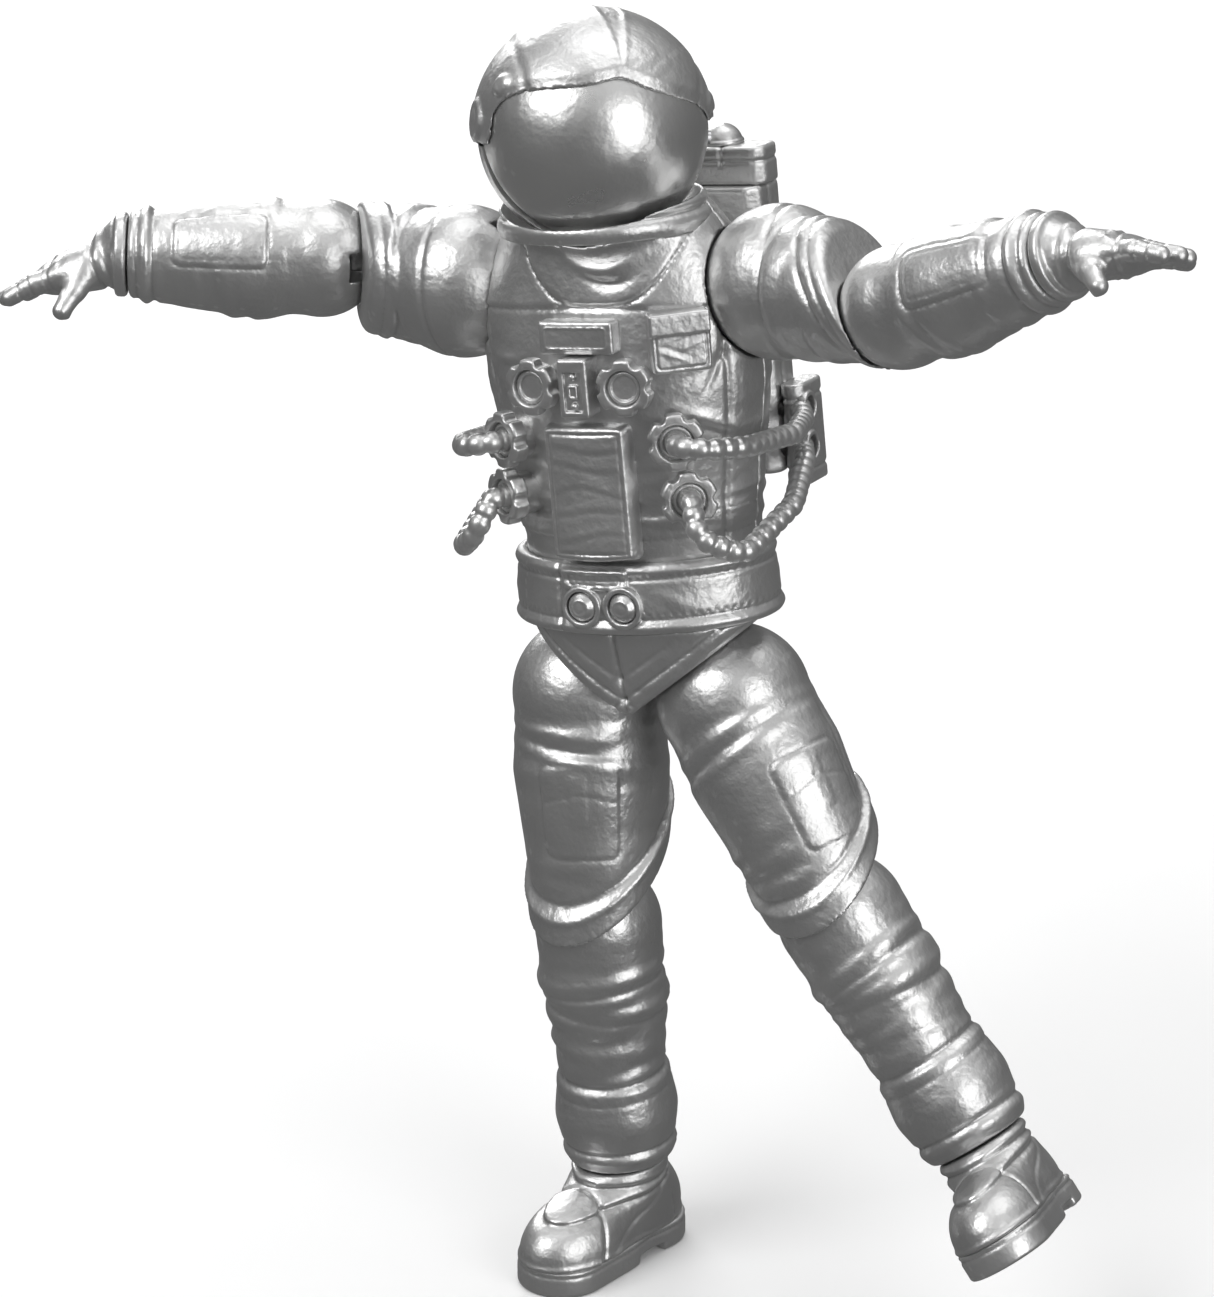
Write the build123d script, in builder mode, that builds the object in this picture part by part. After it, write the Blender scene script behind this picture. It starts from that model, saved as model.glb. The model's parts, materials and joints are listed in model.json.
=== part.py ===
from build123d import *
import os
from math import asin, cos, degrees, radians, sin, tan

# A jointed figure in a pressure suit, one twelfth of life size and about 160 mm tall.
# Millimetres, +Z up. The figure faces -Y and its own left is +X.
# The origin is under the right foot, on the face of the sole.

os.makedirs("parts", exist_ok=True)

# ---- Driving dimensions -------------------------------------------------

ANKLE_HEIGHT = 12.5
SHIN = 31.5
THIGH = 29.0
HIP_SPACING = 19.4
WAIST_RISE = 13.0
SHOULDER_HALF = 21.0
SHOULDER_RISE = 38.0
UPPER_ARM = 20.7
FOREARM = 23.5
HEAD_RISE = 57.0
HEAD_FORWARD = 4.0

HELMET_R = 14.2
SHELL_WALL = 0.65
VISOR_R = 13.4
VISOR_WALL = 0.9
CORE_R = 12.3
COLLAR_GAP = 0.3

DISH_GAP = 0.3          # between a bulb and the dish it turns in
RUNNING = 0.08          # radial clearance of a turning shaft
TONGUE = 3.0            # thickness of a hinge tongue
SLOT_CLEAR = 0.15       # each side of a tongue
NECK_HALF = 1.3         # half the width of a tongue's neck
PIN_R = 0.9
SWIVEL_GAP = 0.2        # between the two flat faces of a swivel
WIDE = 60.0             # longer than any cut needs

# Directions of the limbs in the stored stance
HEADING_R = Vector(-0.30, -0.955, 0)
HEADING_L = Vector(0.12, -0.985, 0.10)
SHIN_R_DOWN = Vector(0.09, 0.02, -0.99).normalized()
THIGH_R_DOWN = Vector(0.10, -0.15, -0.98).normalized()
THIGH_L_DOWN = Vector(0.54, -0.20, -0.78).normalized()
SHIN_L_DOWN = Vector(0.59, -0.10, -0.77).normalized()
ARM_R_OUT = Vector(-0.98, 0.17, -0.03).normalized()
FORE_R_OUT = Vector(-0.93, -0.37, 0.02).normalized()
HAND_R_OUT = Vector(-0.90, -0.26, -0.34).normalized()
ARM_L_OUT = Vector(0.87, -0.48, 0.11).normalized()
FORE_L_OUT = Vector(0.86, -0.28, 0.44).normalized()
HAND_L_OUT = Vector(0.97, -0.18, 0.21).normalized()


# ---- Frames -------------------------------------------------------------

def frame(origin, normal, toward):
    """A plane at a point, facing a normal, with its x axis turned toward a direction."""
    normal = Vector(*normal).normalized()
    toward = Vector(*toward)
    across = (toward - normal * toward.dot(normal)).normalized()
    return Plane(origin=origin, x_dir=across, z_dir=normal)


def turned(direction, axis, degrees):
    """A direction turned about an axis at right angles to it."""
    angle = radians(degrees)
    return direction * cos(angle) + axis.cross(direction) * sin(angle)


def bend_axis(first, second):
    """The axis that turns the first direction toward the second."""
    return first.cross(second).normalized()


def side_on(plane):
    """The plane through a limb's axis, with x across the limb and y along it."""
    return Plane(origin=plane.origin, x_dir=plane.x_dir, z_dir=plane.y_dir * -1)


class Hinge:
    """A round bulb in a dished seat, held by a tongue and a cross pin.

    The bulb turns about the axis from low to high degrees of the stored stance.
    """

    def __init__(self, centre, out, axis, bulb, setback, low, high):
        self.centre = centre
        self.out = out.normalized()
        self.axis = (axis - self.out * axis.dot(self.out)).normalized()
        self.bulb = bulb
        self.seat = bulb + DISH_GAP
        self.low = low
        self.high = high
        self.mouth = Plane(origin=centre - self.out * setback, z_dir=self.out)
        back = self.out * -1
        self.tongue = Plane(origin=centre, x_dir=back, z_dir=self.axis)
        middle = turned(back, self.axis, -(low + high) / 2)
        self.slot = Plane(origin=centre, x_dir=middle, z_dir=self.axis)


ankle_r = HEADING_R * -4.3 + Vector(-0.5, 0, ANKLE_HEIGHT)
knee_r = ankle_r - SHIN_R_DOWN * SHIN
hip_r = knee_r - THIGH_R_DOWN * THIGH
PELVIS_TURN = Location((0, 0, 0), (0, -7, -4), Extrinsic.XYZ)
pelvis_x = Plane(PELVIS_TURN).x_dir
pelvis_z = Plane(PELVIS_TURN).z_dir
hip_l = hip_r + pelvis_x * HIP_SPACING
hip_mid = (hip_r + hip_l) * 0.5
waist = hip_mid + pelvis_z * WAIST_RISE
knee_l = hip_l + THIGH_L_DOWN * THIGH
ankle_l = knee_l + SHIN_L_DOWN * SHIN

PELVIS = Location(tuple(waist), (0, -7, -4), Extrinsic.XYZ)
TORSO = Location(tuple(waist), (-5, -8, -4), Extrinsic.XYZ)
torso_plane = Plane(TORSO)
shoulder_r = (TORSO * Pos(-SHOULDER_HALF, 0, SHOULDER_RISE)).position
shoulder_l = (TORSO * Pos(SHOULDER_HALF, 0, SHOULDER_RISE)).position
head = (TORSO * Pos(0, -HEAD_FORWARD, HEAD_RISE)).position
HEAD = Location(tuple(head), (0, 8, 33), Extrinsic.XYZ)
elbow_r = shoulder_r + ARM_R_OUT * UPPER_ARM
elbow_l = shoulder_l + ARM_L_OUT * UPPER_ARM
wrist_r = elbow_r + FORE_R_OUT * FOREARM
wrist_l = elbow_l + FORE_L_OUT * FOREARM

HIP_TILT = 35.0
hip_out_r = pelvis_x * -sin(radians(HIP_TILT)) - pelvis_z * cos(radians(HIP_TILT))
hip_out_l = pelvis_x * sin(radians(HIP_TILT)) - pelvis_z * cos(radians(HIP_TILT))
KNEE_TILT = 33.0
knee_axis_r = HEADING_R.cross(SHIN_R_DOWN).normalized()
knee_axis_l = HEADING_L.cross(SHIN_L_DOWN).normalized()
elbow_axis_r = bend_axis(ARM_R_OUT, FORE_R_OUT)
elbow_axis_l = bend_axis(ARM_L_OUT, FORE_L_OUT)

shoulder_hinge_r = Hinge(shoulder_r, torso_plane.x_dir * -1, torso_plane.y_dir, 9.2, 3.0, -38, 38)
shoulder_hinge_l = Hinge(shoulder_l, torso_plane.x_dir, torso_plane.y_dir * -1, 9.2, 3.0, -38, 38)
elbow_out_r = turned(FORE_R_OUT, elbow_axis_r, 8)
elbow_out_l = turned(FORE_L_OUT, elbow_axis_l, 15)
elbow_hinge_r = Hinge(elbow_r, elbow_out_r, elbow_axis_r, 7.2, 4.3, -28, 44)
elbow_hinge_l = Hinge(elbow_l, elbow_out_l, elbow_axis_l, 7.2, 4.3, -20, 50)
hip_axis_r = bend_axis(hip_out_r, THIGH_R_DOWN)
hip_axis_l = bend_axis(hip_out_l, THIGH_L_DOWN)
hip_hinge_r = Hinge(hip_r, hip_out_r, hip_axis_r, 9.3, 6.0, -30, 3)
hip_hinge_l = Hinge(hip_l, hip_out_l, hip_axis_l, 9.3, 6.0, -15, 22)
knee_out_r = turned(SHIN_R_DOWN, knee_axis_r, KNEE_TILT)
knee_out_l = turned(SHIN_L_DOWN, knee_axis_l, KNEE_TILT)
knee_hinge_r = Hinge(knee_r, knee_out_r, knee_axis_r, 7.8, 4.3, -4, 68)
knee_hinge_l = Hinge(knee_l, knee_out_l, knee_axis_l, 7.8, 4.3, -4, 68)


# ---- Shared shapes, each added to the part being built ------------------

def revolve_stations(plane, stations):
    """A solid of revolution about a plane's normal, from (distance, radius) stations."""
    outline = [(radius, distance) for distance, radius in stations]
    with BuildSketch(side_on(plane)) as profile:
        with BuildLine():
            Spline(*outline)
            Polyline(outline[-1], (0, outline[-1][1]), (0, outline[0][1]), outline[0])
        make_face()
    revolve(profile.sketch, axis=Axis(plane.origin, plane.z_dir))


def turned_steps(plane, steps, mode=Mode.ADD):
    """A stepped shaft about a plane's normal, from (start, end, radius) steps."""
    for start, end, radius in steps:
        with BuildSketch(plane.offset(start)) as disc:
            Circle(radius)
        extrude(disc.sketch, amount=end - start, mode=mode)


def cut_seat(hinge):
    """A flat mouth and a round dish for a hinge's bulb."""
    split(bisect_by=hinge.mouth, keep=Keep.BOTTOM)
    with Locations(Location(tuple(hinge.centre))):
        Sphere(hinge.seat, mode=Mode.SUBTRACT)


def tongue_eye(hinge):
    """The radius of the round end of a hinge's tongue."""
    return hinge.bulb / 2


def add_tongue(hinge):
    """The flat tongue that reaches from the seat into the bulb."""
    with BuildSketch(hinge.tongue) as tongue:
        Circle(tongue_eye(hinge))
        Rectangle(hinge.seat + 0.6, 2 * NECK_HALF, align=(Align.MIN, Align.CENTER))
        Circle(PIN_R + RUNNING, mode=Mode.SUBTRACT)
    extrude(tongue.sketch, amount=TONGUE / 2, both=True)


def cut_slot(hinge):
    """The slot in a bulb that its tongue swings through, and the pin's hole."""
    eye = tongue_eye(hinge) + SLOT_CLEAR
    neck_angle = degrees(asin(NECK_HALF / eye))
    spread = (hinge.high - hinge.low) / 2 + neck_angle + 2
    reach = hinge.bulb + 4
    rise = reach * tan(radians(spread))
    with BuildSketch(hinge.slot) as slot:
        Circle(eye)
        with BuildLine():
            Polyline((0, 0), (reach, rise), (reach, -rise), close=True)
        make_face()
    extrude(slot.sketch, amount=TONGUE / 2 + SLOT_CLEAR, both=True, mode=Mode.SUBTRACT)
    with BuildSketch(hinge.tongue) as bore:
        Circle(PIN_R)
    extrude(bore.sketch, amount=WIDE / 4, both=True, mode=Mode.SUBTRACT)


def save(part, name):
    """Name a finished piece and write it."""
    part.label = name
    export_step(part, f"parts/{name}.step")


def make_pin(hinge, name):
    """The cross pin of a hinge, ending short of the bulb's surface."""
    with BuildPart() as pin:
        with BuildSketch(hinge.tongue):
            Circle(PIN_R)
        extrude(amount=hinge.bulb - 1.6, both=True)
        chamfer(pin.edges(), 0.2)
    save(pin.part, name)


PEG_R = 2.0
PEG_FLANGE_R = 3.0


def peg_steps(start, length, clear=0.0):
    """Steps of a peg's shaft with one retaining flange, or of its bore."""
    flange = start + 0.5 * length
    return [
        (start - clear, start + length + clear, PEG_R + clear),
        (flange - clear, flange + 1.0 + clear, PEG_FLANGE_R + clear),
    ]


def peg_plane(hinge):
    """The plane of a peg's shaft: from the bulb's centre back into the seat."""
    return Plane(origin=hinge.centre, x_dir=hinge.axis, z_dir=hinge.out * -1)


def make_peg(hinge, length, name):
    """A turning peg with the tongue of a hinge on its end."""
    with BuildPart() as peg:
        turned_steps(peg_plane(hinge), peg_steps(hinge.seat - DISH_GAP / 2, length))
        add_tongue(hinge)
    save(peg.part, name)


def cut_peg_bore(hinge, length):
    """The bore that a peg turns in."""
    steps = peg_steps(hinge.seat - DISH_GAP / 2, length, RUNNING)
    turned_steps(peg_plane(hinge), steps, Mode.SUBTRACT)


# ---- Torso --------------------------------------------------------------

SHOULDER_PEG = 6.5
HIP_PEG = 3.2
WAIST_PEG_R = 3.5
WAIST_BOSS_R = 8.7
BELT_TOP = 6.5
BELT_BOTTOM = -2.0
TORSO_SECTIONS = [          # height, half width, half depth, shift back
    (BELT_BOTTOM, 15.3, 11.3, 0.0),
    (6.0, 14.6, 10.9, 0.0),
    (16.0, 16.0, 11.8, 0.0),
    (27.0, 17.6, 12.4, 0.0),
    (37.0, 18.2, 11.6, 0.0),
    (44.0, 14.0, 10.2, -0.5),
    (48.5, 11.2, 10.0, -2.0),
]


def section_loft(location, sections):
    """A loft through ellipses, each (height, half width, half depth, shift back)."""
    rings = []
    for height, half_width, half_depth, shift in sections:
        with BuildSketch(Plane(location * Pos(0, shift, height))) as section:
            Ellipse(half_width, half_depth)
        rings.append(section.sketch.face())
    loft(rings)


with BuildPart() as torso_form:
    section_loft(TORSO, TORSO_SECTIONS)

NECK_STEM_R = 2.0
NECK_BALL_R = 3.4
NECK_STEPS = [(-24.0, -8.0, NECK_STEM_R), (-21.5, -20.3, 3.0), (-16.2, -14.9, 4.2)]
neck_plane = Plane(TORSO * Pos(0, -HEAD_FORWARD, HEAD_RISE))
neck_bore = [
    (-24.0 - RUNNING, -10.0, NECK_STEM_R + RUNNING),
    (-21.5 - RUNNING, -20.3 + RUNNING, 3.0 + RUNNING),
    (-16.2 - RUNNING, -14.0, 4.2 + RUNNING),
]

# The plates and boxes moulded on the chest, sunk a little into the suit
NAME_PLATE = (0.2, -12.6, 34.0)
CONTROL_BOX = (0.0, -13.2, 28.3)
PANEL = (0.0, -12.6, 15.4)
POCKET = (11.6, -9.6, 33.0)
CONNECTORS = {              # x, y, z on the suit and how far each faces sideways
    "upper_connectors": (5.9, -12.6, 28.2, 8),
    "middle_connectors": (10.7, -10.9, 21.4, 28),
    "lower_connectors": (11.4, -10.3, 14.4, 32),
}


FORWARD = Axis(torso_plane.origin, torso_plane.y_dir * -1)
UPWARD = Axis(torso_plane.origin, torso_plane.z_dir)


def chest_block(spot, size, turn=0.0, soften=0.5):
    """A block on the chest with softened edges on its outer face."""
    with BuildPart(TORSO * Pos(*spot) * Rot(0, 0, turn)) as block:
        Box(*size)
        fillet(block.faces().sort_by(FORWARD)[-1].edges(), soften)
    return block.part


name_plate = chest_block(NAME_PLATE, (9.6, 2.4, 4.0), 0, 0.4)
chest_pocket = chest_block(POCKET, (7.4, 3.0, 7.4), 36)
abdominal_panel = chest_block(PANEL, (11.2, 3.4, 16.4), 0, 0.9)

with BuildPart(TORSO * Pos(*CONTROL_BOX)) as control_box:
    Box(3.8, 4.0, 7.0)
    with Locations((0, -2.0, -0.4)):
        Box(2.2, 0.8, 4.6, mode=Mode.SUBTRACT)
    with Locations((0, -1.8, -0.4)):
        Box(1.1, 0.6, 1.6)

RING_R = 3.4
RING_DEPTH = 1.9
RING_NOTCHES = 6
RING_STUB = 3.0


def ring_frame(spot, side):
    """The frame of a hose ring on one side of the chest, facing outward."""
    x, y, z, turn = spot
    return TORSO * Pos(side * x, y, z) * Rot(0, 0, side * turn) * Rot(90, 0, 0)


def hose_ring(location):
    """A notched ring with a sunk face, on a stub that plugs into the suit."""
    face = Plane(location)
    with BuildPart() as ring:
        with BuildSketch(face):
            Circle(RING_R)
            with PolarLocations(RING_R + 0.2, RING_NOTCHES):
                Circle(0.75, mode=Mode.SUBTRACT)
        extrude(amount=RING_DEPTH)
        with BuildSketch(face):
            Circle(RING_R - 0.8)
        extrude(amount=-RING_STUB)
        with BuildSketch(face.offset(RING_DEPTH - 0.8)):
            Circle(RING_R - 1.3)
        extrude(amount=1, mode=Mode.SUBTRACT)
    return ring.part


rings = {}
for row, spot in CONNECTORS.items():
    rings[row] = [hose_ring(ring_frame(spot, side)) for side in (-1, 1)]

with BuildPart() as belt:
    with BuildSketch(Plane(TORSO * Pos(0, 0, BELT_BOTTOM))):
        Ellipse(16.6, 12.6)
    with BuildSketch(Plane(TORSO * Pos(0, 0, BELT_TOP))):
        Ellipse(16.0, 12.2)
    loft()
    add(torso_form.part, mode=Mode.SUBTRACT)
    STUD_R = 1.8
    stud_seats = [TORSO * Pos(x, -12.4, 1.4) * Rot(90, 0, 0) for x in (-2.7, 2.7)]
    for seat in stud_seats:
        with BuildSketch(Plane(seat)):
            Circle(STUD_R)
        extrude(amount=0.5, both=True, mode=Mode.SUBTRACT)
save(belt.part, "belt")

with BuildPart() as belt_studs:
    for seat in stud_seats:
        with BuildSketch(Plane(seat)):
            Circle(STUD_R)
        extrude(amount=0.5, both=True)
save(belt_studs.part, "belt_studs")

chest_pieces = {
    "name_plate": name_plate,
    "chest_pocket": chest_pocket,
    "abdominal_panel": abdominal_panel,
    "control_box": control_box.part,
}
for name, piece in chest_pieces.items():
    save(piece, name)
for row, pair in rings.items():
    save(Compound(children=pair), row)

SCREW_R = 1.0
SCREW_HEAD_R = 1.7
TORSO_SCREWS = [(-9.0, 9.5), (9.0, 9.5), (-8.0, 26.5), (8.0, 26.5)]
SCREW_HEAD_Y = 9.0
screw_frames = [TORSO * Pos(x, SCREW_HEAD_Y, z) * Rot(90, 0, 0) for x, z in TORSO_SCREWS]
CAVITY = (11.0, 9.0, 12.0)

collar_sections = [(45.0, 12.6, 11.6, -2.6), (49.4, 11.7, 10.9, -3.2)]
with BuildPart() as collar_form:
    section_loft(TORSO, collar_sections)


def torso_half(away, name):
    """One moulded half of the torso, without what lies on the away side of the shoulders."""
    with BuildPart() as half:
        add(torso_form.part)
        for hinge in (shoulder_hinge_r, shoulder_hinge_l):
            cut_seat(hinge)
            cut_peg_bore(hinge, SHOULDER_PEG)
        with Locations(HEAD):
            Sphere(HELMET_R + COLLAR_GAP, mode=Mode.SUBTRACT)
        turned_steps(neck_plane, neck_bore, Mode.SUBTRACT)
        with Locations(TORSO * Pos(0, 0, 18)):
            Box(*CAVITY, mode=Mode.SUBTRACT)
        waist_plane = Plane(TORSO)
        boss = [(BELT_BOTTOM - 1, -0.1, WAIST_BOSS_R + 0.2), (-0.2, 8.1, WAIST_PEG_R + RUNNING)]
        turned_steps(waist_plane, boss, Mode.SUBTRACT)
        for screw in screw_frames:
            with BuildSketch(Plane(screw)):
                Circle(SCREW_R)
            extrude(amount=13, mode=Mode.SUBTRACT)
            with BuildSketch(Plane(screw)):
                Circle(SCREW_HEAD_R)
            extrude(amount=-WIDE / 4, mode=Mode.SUBTRACT)
        for piece in chest_pieces.values():
            add(piece, mode=Mode.SUBTRACT)
        for pair in rings.values():
            add(pair, mode=Mode.SUBTRACT)
        add(collar_form.part, mode=Mode.SUBTRACT)
        with Locations(TORSO * Pos(0, away * WIDE / 2, WIDE / 2 - 5)):
            Box(WIDE, WIDE, WIDE, mode=Mode.SUBTRACT)
    save(half.part, name)


torso_half(1, "torso_front")
torso_half(-1, "torso_back")

with BuildPart() as torso_screws:
    for screw in screw_frames:
        with BuildSketch(Plane(screw)):
            Circle(SCREW_R)
        extrude(amount=12)
        with BuildSketch(Plane(screw)):
            Circle(SCREW_HEAD_R)
        extrude(amount=-1.2)
        with BuildSketch(Plane(screw).offset(-1.2)):
            Rectangle(2.0, 0.45)
            Rectangle(0.45, 2.0)
        extrude(amount=0.6, mode=Mode.SUBTRACT)
save(torso_screws.part, "torso_screws")

with BuildPart() as collar_ring:
    add(collar_form.part)
    with Locations(HEAD):
        Sphere(HELMET_R + COLLAR_GAP, mode=Mode.SUBTRACT)
save(collar_ring.part, "collar_ring")


# ---- Back pack and hoses ------------------------------------------------

def pack_block(spot, size, bevel):
    """A block of the pack with bevelled long edges."""
    with BuildPart(TORSO * Pos(*spot)) as block:
        Box(*size)
        chamfer(block.edges().filter_by(UPWARD), bevel)
    return block.part


pack_case = pack_block((0, 15.4, 29.5), (26.0, 8.0, 35.0), 1.6)
pack_cover = pack_block((0, 20.2, 30.0), (21.0, 1.6, 29.0), 0.5)
top_box = pack_block((0, 15.4, 49.3), (27.0, 5.6, 4.6), 1.2)
lower_boxes = [pack_block((side * 14.6, 16.0, 16.6), (3.2, 7.0, 12.4), 1.0) for side in (-1, 1)]

HOSE_R = 1.25
HOSE_ROUTES = {             # x, y, z of each corner, on the figure's left side
    "upper_hose": ((15.2, -15.2, 21.2), (18.6, -8.5, 20.2), (19.4, 3.0, 19.2), (17.2, 10.6, 19.2)),
    "lower_hose": ((14.6, -15.2, 10.6), (18.6, -11.5, 8.0), (20.0, 0.0, 11.4), (17.4, 9.6, 14.4)),
}
HOSE_START = {"upper_hose": "middle_connectors", "lower_hose": "lower_connectors"}
RING_BEND, SIDE_BEND, PORT_BEND = 1.0, 3.0, 1.2      # bend radii along a hose


def make_hose(name, side, end):
    """A moulded hose from its ring round to the side of the pack."""
    ring = ring_frame(CONNECTORS[HOSE_START[name]], side)
    start = (ring * Pos(0, 0, RING_DEPTH - 0.8)).position
    leave = (ring * Pos(0, 0, RING_DEPTH + 1.4)).position
    corners = [(TORSO * Pos(side * x, y, z)).position for x, y, z in HOSE_ROUTES[name]]
    finish = (TORSO * Pos(*end)).position
    points = [start, leave] + corners + [finish]
    bends = [RING_BEND] + [SIDE_BEND] * (len(corners) - 1) + [PORT_BEND]
    with BuildPart() as hose:
        with BuildLine() as path:
            FilletPolyline(*points, radius=bends)
        with BuildSketch(Plane(origin=start, z_dir=path.line % 0)):
            Circle(HOSE_R)
        sweep()
    return hose.part


PACK_PORTS = {"upper_hose": (16.2, 14.4, 19.8), "lower_hose": (16.2, 14.4, 15.0)}
hoses = {}
for hand, side in (("right", -1), ("left", 1)):
    for name, (x, y, z) in PACK_PORTS.items():
        hoses[f"{hand}_{name}"] = make_hose(name, side, (side * (x - 1.2), y, z))

with BuildPart() as lower_boxes_cut:
    add(lower_boxes)
    for hose in hoses.values():
        add(hose, mode=Mode.SUBTRACT)
    add(pack_case, mode=Mode.SUBTRACT)
save(lower_boxes_cut.part, "pack_lower_boxes")

with BuildPart() as pack_case_cut:
    add(pack_case)
    add(torso_form.part, mode=Mode.SUBTRACT)
    add(pack_cover, mode=Mode.SUBTRACT)
    with Locations(TORSO * Pos(0, 16.0, 29.5)):
        Box(22.0, 4.6, 30.0, mode=Mode.SUBTRACT)
    for hose in hoses.values():
        add(hose, mode=Mode.SUBTRACT)
save(pack_case_cut.part, "pack_case")
save(pack_cover, "pack_cover")

with BuildPart() as pack_top_box:
    add(top_box)
    with Locations(HEAD):
        Sphere(HELMET_R + COLLAR_GAP, mode=Mode.SUBTRACT)
    add(pack_case, mode=Mode.SUBTRACT)
    add(collar_form.part, mode=Mode.SUBTRACT)
save(pack_top_box.part, "pack_top_box")

with BuildPart(TORSO * Pos(7.0, 16.0, 51.6)) as pack_dome:
    Sphere(2.3)
    split(bisect_by=Plane(TORSO * Pos(0, 0, 51.6)), keep=Keep.TOP)
save(pack_dome.part, "pack_dome")

for name, hose in hoses.items():
    save(hose, name)


# ---- Head ---------------------------------------------------------------

VISOR_LOW = -58.0       # angles about the ear pivots, up from straight ahead
VISOR_HIGH = 45.0
BROW = 38.0
CHIN = -55.0
VISOR_TRAVEL = 60.0
SIDE_REACH = 12.2
EAR_PIN_R = 0.8
EAR_LUG_R = 2.6
NECK_CONE = 20.0
NECK_MOUTH_R = NECK_STEM_R + 0.3
head_plane = Plane(HEAD)
ear_plane = Plane(origin=head_plane.origin, x_dir=head_plane.y_dir * -1, z_dir=head_plane.x_dir * -1)


def wedge(low, high, half_length, mode):
    """A wedge about the ear axis between two angles above straight ahead."""
    span = high - low
    steps = max(1, round(span / 60))
    rim = []
    for index in range(steps + 1):
        angle = radians(low + span * index / steps)
        rim.append((26 * cos(angle), 26 * sin(angle)))
    with BuildSketch(ear_plane) as slice_face:
        with BuildLine():
            Polyline((0, 0), *rim, close=True)
        make_face()
    extrude(slice_face.sketch, amount=half_length, both=True, mode=mode)


def neck_opening(length):
    """A conical opening round the neck stem."""
    with BuildPart(mode=Mode.PRIVATE) as opening:
        with Locations(Plane(origin=head, x_dir=torso_plane.x_dir, z_dir=torso_plane.z_dir * -1)):
            far_radius = NECK_MOUTH_R + length * tan(radians(NECK_CONE))
            Cone(NECK_MOUTH_R, far_radius, length, align=(Align.CENTER, Align.CENTER, Align.MIN))
    return opening.part


neck_cone = neck_opening(16.0)


def ball(radius, mode=Mode.ADD):
    """A ball about the head's centre."""
    with Locations(HEAD):
        Sphere(radius, mode=mode)


with BuildPart() as helmet_shell:
    ball(HELMET_R)
    ball(HELMET_R - SHELL_WALL, Mode.SUBTRACT)
    wedge(CHIN, BROW, SIDE_REACH, Mode.SUBTRACT)
    with BuildSketch(ear_plane):
        Circle(EAR_PIN_R)
    extrude(amount=WIDE / 2, both=True, mode=Mode.SUBTRACT)
    add(neck_cone, mode=Mode.SUBTRACT)
save(helmet_shell.part, "helmet_shell")

with BuildPart() as visor:
    wedge(VISOR_LOW, VISOR_HIGH, WIDE / 2, Mode.ADD)
    with BuildSketch(ear_plane):
        Circle(EAR_LUG_R)
    extrude(amount=WIDE / 2, both=True)
    ball(VISOR_R, Mode.INTERSECT)
    ball(VISOR_R - VISOR_WALL, Mode.SUBTRACT)
    with BuildSketch(ear_plane):
        Circle(EAR_PIN_R + RUNNING)
    extrude(amount=WIDE / 2, both=True, mode=Mode.SUBTRACT)
save(visor.part, "visor")

with BuildPart() as back_pad:
    wedge(VISOR_HIGH + VISOR_TRAVEL + 6, 360 + VISOR_LOW - 8, WIDE / 2, Mode.ADD)
    ball(HELMET_R - SHELL_WALL, Mode.INTERSECT)
    ball(CORE_R - 0.4, Mode.SUBTRACT)
    with BuildSketch(ear_plane):
        Circle(EAR_LUG_R + 0.5)
    extrude(amount=WIDE / 2, both=True, mode=Mode.SUBTRACT)

with BuildPart() as helmet_core:
    ball(CORE_R)
    ball(CORE_R - 1.3, Mode.SUBTRACT)
    ball(NECK_BALL_R + 2.2)
    with BuildSketch(head_plane):
        Circle(2.6)
    extrude(amount=CORE_R - 0.8)
    add(back_pad.part)
    ball(NECK_BALL_R + RUNNING, Mode.SUBTRACT)
    add(neck_cone, mode=Mode.SUBTRACT)
    with BuildSketch(ear_plane):
        Circle(EAR_PIN_R)
    extrude(amount=WIDE / 2, both=True, mode=Mode.SUBTRACT)
save(helmet_core.part, "helmet_core")

with BuildPart() as ear_pins:
    for side in (-1, 1):
        with BuildSketch(ear_plane.offset(side * (CORE_R - 1.6))):
            Circle(EAR_PIN_R)
        extrude(amount=side * (HELMET_R - CORE_R + 1.5))
save(ear_pins.part, "ear_pins")

with BuildPart() as neck_post:
    turned_steps(neck_plane, NECK_STEPS)
    turned_steps(neck_plane, [(-9.0, -2.0, NECK_STEM_R)])
    with Locations(Location(tuple(head))):
        Sphere(NECK_BALL_R)
save(neck_post.part, "neck_post")


# ---- Pelvis -------------------------------------------------------------

PELVIS_SECTIONS = [
    (-15.5, 9.5, 7.0, 0.0),
    (-9.0, 13.0, 9.6, 0.0),
    (BELT_BOTTOM - SWIVEL_GAP, 14.8, 11.0, 0.0),
]

with BuildPart() as pelvis:
    section_loft(PELVIS, PELVIS_SECTIONS)
    split(bisect_by=Plane(TORSO * Pos(0, 0, BELT_BOTTOM - SWIVEL_GAP)), keep=Keep.BOTTOM)
    turned_steps(Plane(TORSO), [(BELT_BOTTOM - 2, -0.3, WAIST_BOSS_R)])
    for hinge in (hip_hinge_r, hip_hinge_l):
        cut_seat(hinge)
        cut_peg_bore(hinge, HIP_PEG)
    turned_steps(Plane(TORSO), [(-1.0, 0.0, WAIST_PEG_R)], Mode.SUBTRACT)
save(pelvis.part, "pelvis")

with BuildPart() as waist_peg:
    turned_steps(Plane(TORSO), [(-1.0, 8.0, WAIST_PEG_R)])
    chamfer(waist_peg.edges().sort_by(UPWARD)[-1], 0.4)
save(waist_peg.part, "waist_peg")


# ---- Arms ---------------------------------------------------------------

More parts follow.
